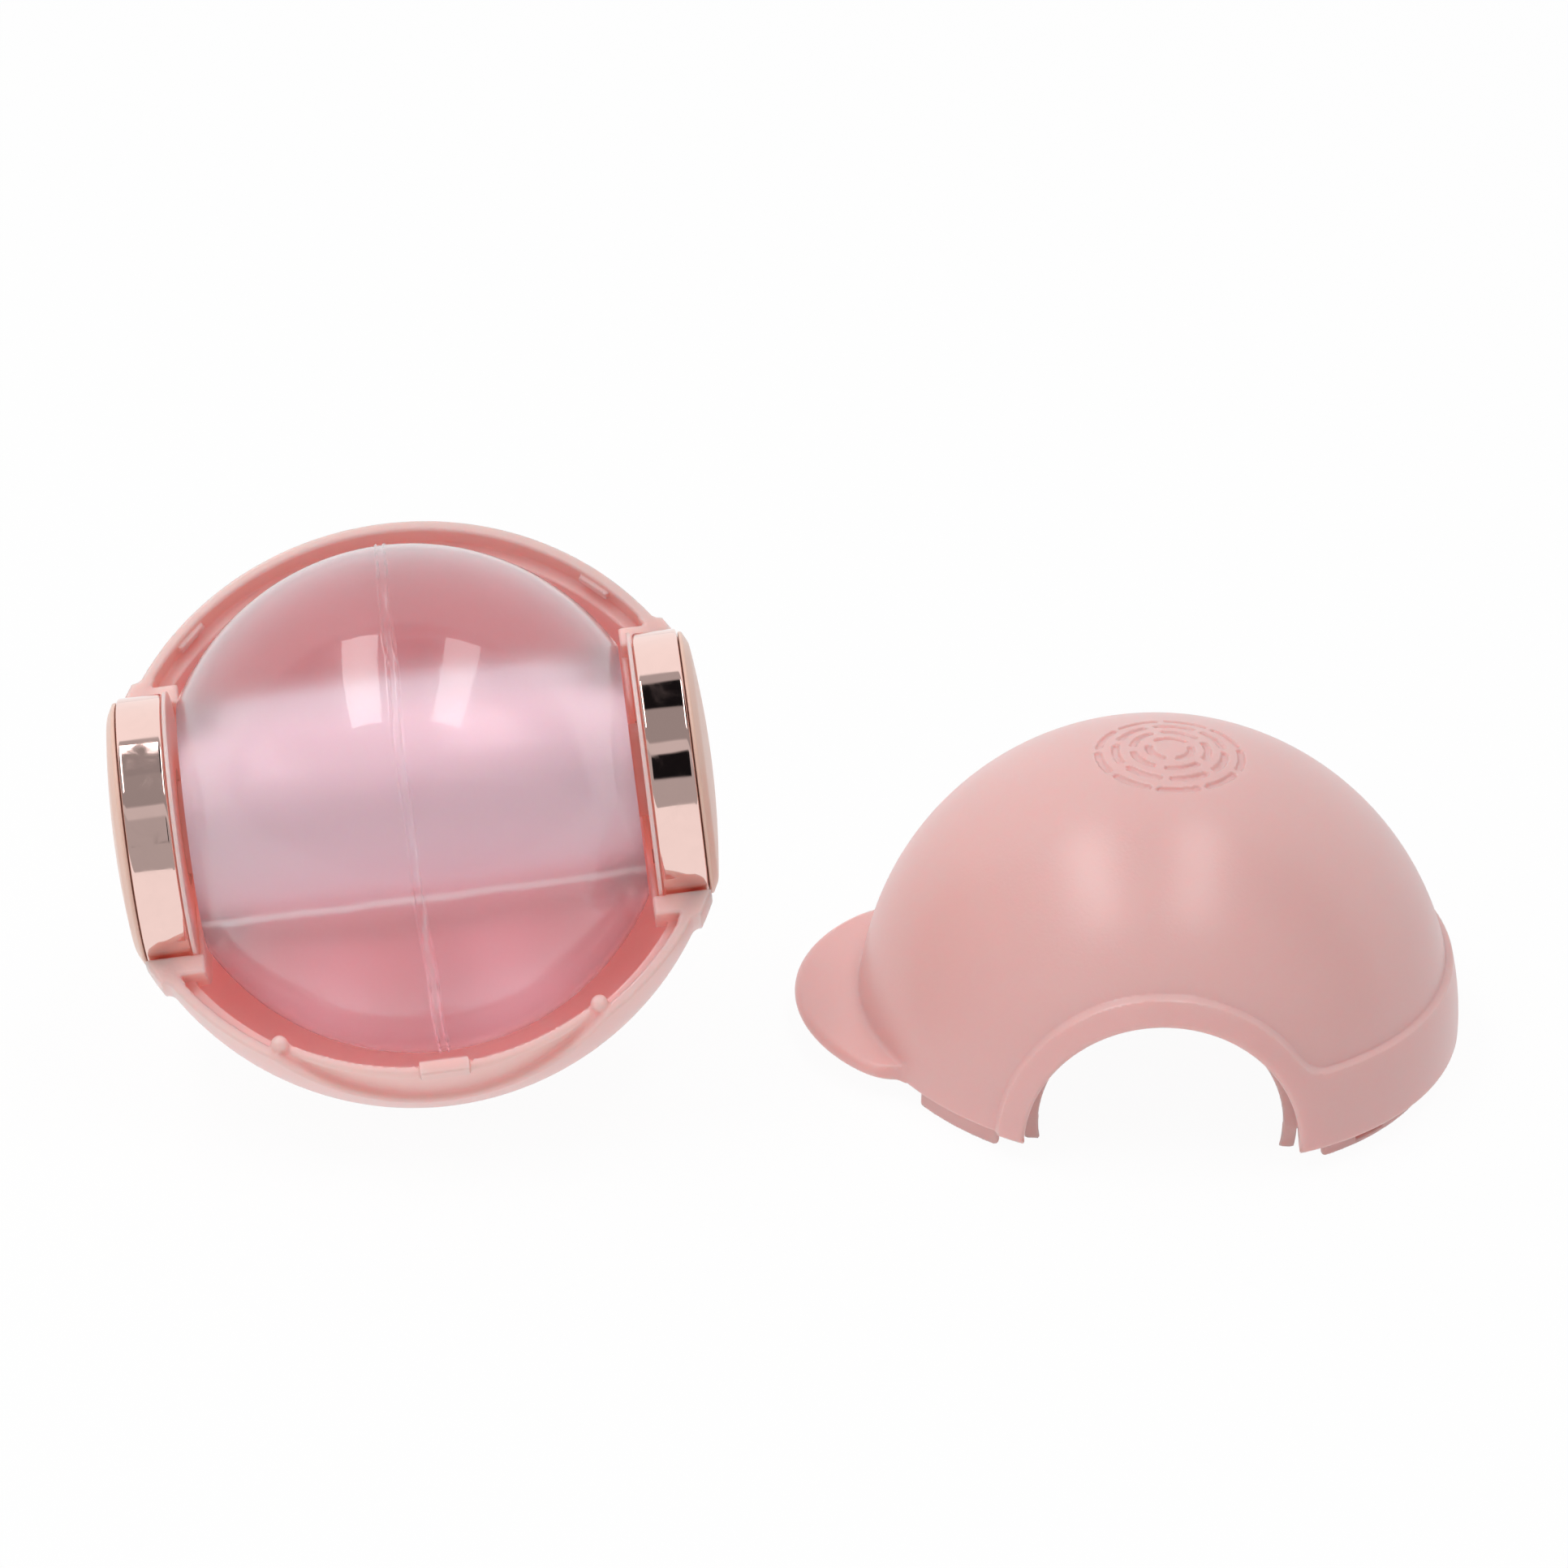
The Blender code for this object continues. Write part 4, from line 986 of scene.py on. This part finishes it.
class LINTBALL_OT_cap(bpy.types.Operator):
    """Mould the cap with its thumb tab"""
    bl_idname = "lintball.cap"
    bl_label = "Cap"

    def execute(self, context):
        g = BallGauge(context.scene)
        reach = g.dome + g.band + FIELD_ROOM
        low = (-reach, -(g.dome + g.tab[0] + FIELD_ROOM), -g.skirt_depth - FIELD_ROOM)
        item = moulded("cap_moulding", cap_field(g), low, (reach, reach, reach),
                       cap_place(context.scene.lint_case))
        dress(item, "moulded_pink_abs", "cap", "shell", "cap_shell")
        return {"FINISHED"}


class LINTBALL_OT_drums(bpy.types.Operator):
    """Turn the plated rings, cover discs, bearing plates and bushes of both drums"""
    bl_idname = "lintball.drums"
    bl_label = "Side drums"

    def execute(self, context):
        g, d = BallGauge(context.scene), in_mm(context.scene.lint_drum)
        roller = in_mm(context.scene.lint_roller)
        steps, hub = roller["turned_steps"], roller["hub_radius"]
        inner, outer = g.drum_inner, g.drum_inner + d["ring_width"]
        bore = g.drum - d["ring_wall"]
        ring = [(bore, inner), (g.drum, inner), (g.drum, outer), (bore, outer)]
        edge, seat = g.drum - d["disc_step"], outer + PRESS_GAP
        flat, crown = edge - d["disc_chamfer"], d["disc_crown"]
        dome = crown * DISC_DOME_SHARE
        press, hook = bore - PRESS_GAP, outer - DISC_HOOK
        disc = [(edge, seat), (edge, seat + crown * 0.2), (flat, seat + crown - dome)]
        disc += [(flat * k / 12.0, seat + crown - dome * (k / 12.0) ** 2)
                 for k in range(11, -1, -1)]
        disc += [(0.0, seat), (press - DISC_WALL, seat), (press - DISC_WALL, hook), (press, hook),
                 (press, seat)]
        hole, floor = hub + BUSH_OUTER + PRESS_GAP, inner + PLATE_FLOOR
        rim, collar = g.drum + FLANGE_PROUD, inner + PLATE_COLLAR
        plate = [(hole, g.plate_inner), (rim, g.plate_inner), (rim, inner - PRESS_GAP),
                 (press, inner - PRESS_GAP), (press, collar), (press - PLATE_WALL, collar),
                 (press - PLATE_WALL, floor), (hole + PLATE_WALL, floor), (hole, floor)]
        seat, end = floor + PRESS_GAP, inner + BUSH_END
        bush = [(hub + RUNNING_FIT, g.plate_inner), (hub + BUSH_OUTER, g.plate_inner),
                (hub + BUSH_OUTER, seat), (hub + BUSH_COLLAR, seat), (hub + BUSH_COLLAR, end),
                (hub + RUNNING_FIT, end)]
        turned_pairs("base", (
            ("ring", rounded(ring, 0.4), steps, "rose_gold_plating", "ring", "drum_ring"),
            ("disc", rounded(disc, 0.45), steps, "satin_peach_abs", "disc", "cover_disc"),
            ("plate", rounded(plate, 0.15, 2), steps, "moulded_pink_abs_bowl", "shell",
             "bearing_plate"),
            ("bush", rounded(bush, 0.12, 2), SMALL_STEPS, "natural_acetal", "bush", "axle_bush")))
        return {"FINISHED"}


class LINTBALL_OT_roller(bpy.types.Operator):
    """Cast the gel sleeve and turn the core, hubs and washers"""
    bl_idname = "lintball.roller"
    bl_label = "Roller"

    def execute(self, context):
        g, s, place = BallGauge(context.scene), in_mm(context.scene.lint_roller), base_place()
        gel_radius = g.base_inner - s["gel_play"]
        half = g.drum_inner - s["end_play"]
        core = s["core_radius"]
        bore = core + PRESS_GAP
        sweep = atan2(half, sqrt(gel_radius ** 2 - half ** 2))
        # The second row of angles is finer, for the seam round the middle
        turns = {*np.linspace(-sweep, sweep, 121), *np.linspace(-0.05, 0.05, 31)}
        outline = [(gel_radius * cos(angle), gel_radius * sin(angle)) for angle in sorted(turns)]
        outline += [(bore, half), (bore, -half)]

        def flaws(angle, radius, station):
            """Two fine ridges of the mould's seam, which wander and swell a little."""
            if abs(station) > 1.6 or radius < bore + 1.0:
                return 0.0
            wander = 0.22 * sin(7.0 * angle + 1.0) * sin(3.0 * angle)
            swell = 1.0 + 0.5 * sin(23.0 * angle) * sin(7.0 * angle + 1.0) + 0.4 * sin(61.0 * angle)
            beads = max(0.0, sin(37.0 * angle + 2.0 * sin(11.0 * angle)) - 0.8) * 1.6
            ridge = sum(2.0 ** (-((station - wander - at) / s["seam_width"] * 4.0) ** 2)
                        for at in (-s["seam_width"], s["seam_width"]))
            bead = beads * 2.0 ** (-((station - wander) / 0.35) ** 2)
            return s["seam_height"] * (ridge * swell + bead)

        gel = turned("gel_roller", outline, 1, place, GEL_STEPS, flaws)
        dress(gel, "clear_sticky_gel", "roller", "gel", "gel_sleeve")
        tube = [(core, -half), (core, half), (core - CORE_WALL, half), (core - CORE_WALL, -half)]
        sleeve = turned("core_sleeve", rounded(tube, 0.3, 2), 1, place, s["turned_steps"])
        dress(sleeve, "natural_core_plastic", "roller", "core", "core_tube")
        hub, plug, end = s["hub_radius"], core - CORE_WALL - PRESS_GAP, g.drum_inner + HUB_STUB
        post = [(0.0, half - PLUG_DEPTH), (plug, half - PLUG_DEPTH), (plug, half), (hub, half),
                (hub, end), (SCREW_BORE, end), (SCREW_BORE, end - SCREW_BORE_DEPTH),
                (0.0, end - SCREW_BORE_DEPTH)]
        low, high = end + PRESS_GAP, end + PRESS_GAP + WASHER_THICKNESS
        washer = [(WASHER_BORE, low), (WASHER_OUTER, low), (WASHER_OUTER, high),
                  (WASHER_BORE, high)]
        turned_pairs("roller", (
            ("hub", rounded(post, 0.2, 2), SMALL_STEPS, "moulded_pink_abs_bowl", "shell",
             "roller_hub"),
            ("washer", rounded(washer, 0.1, 2), SMALL_STEPS, "zinc_plated_steel", "steel",
             "axle_washer")))
        return {"FINISHED"}


def screw_tree():
    """Pan-head screws on the points of a mesh, along the X axis of the ball frame."""
    tree = bpy.data.node_groups.new("Pan head screws", "GeometryNodeTree")
    face = tree.interface
    face.new_socket("Points", in_out="INPUT", socket_type="NodeSocketGeometry")
    for name, default in zip(SCREW_SIZES, PLATE_SCREW):
        socket = face.new_socket(name, in_out="INPUT", socket_type="NodeSocketFloat")
        socket.default_value = default * MM
        socket.subtype = "DISTANCE"
    face.new_socket("Turn", in_out="INPUT", socket_type="NodeSocketRotation")
    face.new_socket("Finish", in_out="INPUT", socket_type="NodeSocketMaterial")
    face.new_socket("Screws", in_out="OUTPUT", socket_type="NodeSocketGeometry")
    given = add(tree, "NodeGroupInput").outputs
    taper = add(tree, "ShaderNodeMath", {0: given["Head radius"], 1: 0.65}, operation="MULTIPLY")
    head = add(tree, "GeometryNodeMeshCone", {
        "Vertices": 48, "Radius Top": taper, "Radius Bottom": given["Head radius"],
        "Depth": given["Head height"]})
    shank = add(tree, "GeometryNodeMeshCylinder", {
        "Vertices": 32, "Radius": given["Shank radius"], "Depth": given["Shank length"]})
    # Just under half, so that the shank starts inside the head
    half = add(tree, "ShaderNodeMath", {0: given["Shank length"], 1: -0.499}, operation="MULTIPLY")
    drop = add(tree, "ShaderNodeCombineXYZ", {"Z": half})
    lower = add(tree, "GeometryNodeTransform", {"Geometry": shank, "Translation": drop})
    one = add(tree, "GeometryNodeJoinGeometry", {"Geometry": head})
    tree.links.new(lower.outputs["Geometry"], one.inputs["Geometry"])
    spread = add(tree, "GeometryNodeInstanceOnPoints", {
        "Points": given["Points"], "Instance": one, "Rotation": given["Turn"]})
    real = add(tree, "GeometryNodeRealizeInstances", {"Geometry": spread})
    paint = add(tree, "GeometryNodeSetMaterial", {"Geometry": real, "Material": given["Finish"]})
    add(tree, "NodeGroupOutput", {"Screws": paint})
    return tree


def screw(name, tree, spot, side, sizes, place):
    """Plain mesh of one screw of a drum, its head at the spot and facing outwards."""
    mesh = bpy.data.meshes.new(name)
    mesh.from_pydata([place @ (Vector(spot) * MM)], [], [])
    item = new_object(name, mesh)
    spread = item.modifiers.new("Screws", "NODES")
    spread.node_group = tree
    axis = place.to_3x3() @ Vector((side, 0.0, 0.0))
    given = dict(zip(SCREW_SIZES, (size * MM for size in sizes)))
    given["Turn"] = axis.to_track_quat("Z", "Y").to_euler()
    given["Finish"] = bpy.data.materials["zinc_plated_steel"]
    for socket in tree.interface.items_tree:
        if socket.in_out == "INPUT" and socket.name in given:
            spread[socket.identifier] = given[socket.name]
    apply_modifiers(item)
    item.data.set_sharp_from_angle(angle=radians(30.0))
    return item


class LINTBALL_OT_screws(bpy.types.Operator):
    """Put in the axle screws and the plate screws"""
    bl_idname = "lintball.screws"
    bl_label = "Screws"

    def execute(self, context):
        g, place, tree = BallGauge(context.scene), base_place(), screw_tree()
        washer_top = g.drum_inner + HUB_STUB + PRESS_GAP + WASHER_THICKNESS
        axle = washer_top + PRESS_GAP + AXLE_SCREW[1] / 2.0
        plate = g.drum_inner + PLATE_FLOOR + PRESS_GAP + PLATE_SCREW[1] / 2.0
        y, z, _ = PLATE_SCREW_SPOT
        for word, side in SIDES:
            item = screw(word + "_axle_fixing", tree, (side * axle, 0, 0), side, AXLE_SCREW, place)
            dress(item, "zinc_plated_steel", "roller", "steel", word + "_axle_screw")
            for end, way in (("front", -1), ("back", 1)):
                item = screw(f"{word}_plate_fixing_{end}", tree, (side * plate, way * y, z), side,
                             PLATE_SCREW, place)
                dress(item, "zinc_plated_steel", "base", "steel", f"{word}_plate_screw_{end}")
        return {"FINISHED"}


def strip_lamp(name, direction, watts):
    """A long overhead soft strip that lights the ball and shows in the gel."""
    light = bpy.data.lights.new(name, "AREA")
    light.shape = "RECTANGLE"
    light.size, light.size_y = LAMP_WIDTH, LAMP_LENGTH
    light.energy = watts
    lamp = new_object(name, light)
    up = Vector(direction).normalized()
    lamp.location = up * LAMP_DISTANCE
    across = Vector((0.0, 1.0, 0.0)).cross(up).normalized()
    lamp.rotation_euler = Matrix((across, up.cross(across), up)).transposed().to_euler()


def height_share(degrees):
    """Height seen from the ball, from straight down in front over the top to the back."""
    return (degrees + 90.0) / 270.0


def lay_bands(points, bands):
    """Steps of grey on a colour ramp by height in degrees, each with a short soft flank."""
    flank = 0.003
    stops = [(0.0, bands[0][1])]
    for (degrees, grey), (_, following) in zip(bands, bands[1:]):
        end = height_share(degrees)
        stops += [(end - flank, grey), (end + flank, following)]
    while len(points) < len(stops):
        points.new(0.5)
    for point, (place, grey) in zip(points, stops):
        point.position = place
        point.color = (grey, grey, grey, 1.0)


def room_world(strength):
    """Light of the room by its height, as the bright plating mirrors it.

    From the front up: the dim room with the dark camera in it, a pale band, the dim ceiling
    with a black gap between the lamps, and the bright wall behind.
    """
    world = bpy.data.worlds.new("studio_room")
    world.use_nodes = True
    tree = world.node_tree
    tree.nodes.clear()
    toward = add(tree, "ShaderNodeTexCoord").outputs["Generated"]
    parts = add(tree, "ShaderNodeSeparateXYZ", {"Vector": toward}).outputs
    front = add(tree, "ShaderNodeMath", {0: parts["Y"], 1: -1.0}, operation="MULTIPLY")
    height = add(tree, "ShaderNodeMath", {0: parts["Z"], 1: front}, operation="ARCTAN2")
    share = add(tree, "ShaderNodeMapRange", {
        "Value": height, "From Min": -pi / 2.0, "From Max": pi})
    ramps = []
    for bands in (MIRRORED_BANDS, GAP_BANDS, CAMERA_BANDS, SOFT_BANDS):
        ramps.append(add(tree, "ShaderNodeValToRGB", {"Fac": share}))
        lay_bands(ramps[-1].color_ramp.elements, bands)
    grey, ceiling, camera, soft = ramps
    # The black gap lies right of the middle, the camera's body about it
    right = add(tree, "ShaderNodeMapRange", {
        "Value": parts["X"], "From Min": -0.163, "From Max": -0.155})
    aside = add(tree, "ShaderNodeMath", {0: parts["X"], 1: 0.06}, operation="SUBTRACT")
    far = add(tree, "ShaderNodeMath", {0: aside}, operation="ABSOLUTE")
    body = add(tree, "ShaderNodeMapRange", {"Value": far, "From Min": 0.07, "From Max": 0.068})
    gap = add(tree, "ShaderNodeMath", {0: ceiling, 1: right}, operation="MULTIPLY")
    lens = add(tree, "ShaderNodeMath", {0: camera, 1: body}, operation="MULTIPLY")
    dark = add(tree, "ShaderNodeMath", {0: gap, 1: lens}, operation="MAXIMUM")
    shade = add(tree, "ShaderNodeMix", {
        "Factor": dark, 6: grey, 7: rgba(hex_colour("161618"))}, data_type="RGBA")
    mirrored = add(tree, "ShaderNodeBackground", {"Color": shade, "Strength": 1.0})
    # More light comes from the left of the room than from its right
    aslant = add(tree, "ShaderNodeMapRange", {
        "Value": parts["X"], "From Min": -1.0, "To Min": 1.4 * strength, "To Max": 0.55 * strength})
    even = add(tree, "ShaderNodeBackground", {"Color": soft, "Strength": aslant})
    white = add(tree, "ShaderNodeBackground", {"Color": rgba(WHITE), "Strength": 1.0})
    path = add(tree, "ShaderNodeLightPath").outputs
    room = add(tree, "ShaderNodeMixShader", {"Fac": path["Is Glossy Ray"], 1: even, 2: mirrored})
    both = add(tree, "ShaderNodeMixShader", {"Fac": path["Is Camera Ray"], 1: room, 2: white})
    add(tree, "ShaderNodeOutputWorld", {"Surface": both})
    bpy.context.scene.world = world


class LINTBALL_OT_stage(bpy.types.Operator):
    """Lay the paper floor and set up the lamps, the room light and the camera"""
    bl_idname = "lintball.stage"
    bl_label = "Stage"

    def execute(self, context):
        scene = context.scene
        studio = scene.lint_studio
        mesh = bpy.data.meshes.new("paper_sweep")
        corners = [(-PAPER_REACH, PAPER_NEAR_EDGE, 0.0), (PAPER_REACH, PAPER_NEAR_EDGE, 0.0),
                   (PAPER_REACH, PAPER_REACH, 0.0), (-PAPER_REACH, PAPER_REACH, 0.0)]
        mesh.from_pydata(corners, [], [(0, 1, 2, 3)])
        mesh.materials.append(bpy.data.materials["white_paper"])
        floor = new_object("paper_sweep", mesh)
        strip_lamp("strip_left", (-0.38, -0.09, 0.93), studio.lamp_watts * 1.1)
        strip_lamp("strip_right", (0.235, -0.09, 0.96), studio.lamp_watts * 0.85)
        room_world(studio.sky)
        down = studio.elevation
        ahead = Vector((0.0, cos(down), -sin(down)))
        lens = bpy.data.cameras.new("camera")
        lens.sensor_width = 36.0
        lens.lens = studio.lens
        camera = new_object("camera", lens)
        turn = Euler((pi / 2.0 - down, 0.0, 0.0)).to_matrix() @ Matrix.Rotation(studio.roll, 3, "Z")
        spot = CAMERA_TARGET * MM - ahead * studio.camera_distance
        camera.matrix_world = Matrix.Translation(spot) @ turn.to_4x4()
        scene.camera = camera
        scene.view_settings.view_transform = "Standard"
        return {"FINISHED"}


OPERATORS = (LINTBALL_OT_finishes, LINTBALL_OT_base, LINTBALL_OT_cap, LINTBALL_OT_drums,
             LINTBALL_OT_roller, LINTBALL_OT_screws, LINTBALL_OT_stage)


class LINTBALL_PT_panel(bpy.types.Panel):
    """Sizes, colours and steps of the lint ball"""
    bl_idname = "LINTBALL_PT_panel"
    bl_label = "Lint ball"
    bl_space_type = "VIEW_3D"
    bl_region_type = "UI"
    bl_category = "Lint ball"

    def draw(self, context):
        for operator in OPERATORS:
            self.layout.operator(operator.bl_idname)
        for attribute, group in SETTINGS:
            box = self.layout.box()
            for key in group.__annotations__:
                box.prop(getattr(context.scene, attribute), key)


def register():
    for attribute, group in SETTINGS:
        bpy.utils.register_class(group)
        setattr(bpy.types.Scene, attribute, PointerProperty(type=group))
    for made in (*OPERATORS, LINTBALL_PT_panel):
        bpy.utils.register_class(made)


def unregister():
    for made in (LINTBALL_PT_panel, *reversed(OPERATORS)):
        bpy.utils.unregister_class(made)
    for attribute, group in reversed(SETTINGS):
        delattr(bpy.types.Scene, attribute)
        bpy.utils.unregister_class(group)


def main():
    register()
    bpy.ops.lintball.finishes()
    bpy.ops.lintball.base()
    bpy.ops.lintball.cap()
    bpy.ops.lintball.drums()
    bpy.ops.lintball.roller()
    bpy.ops.lintball.screws()
    bpy.ops.lintball.stage()


if __name__ == "__main__":
    main()
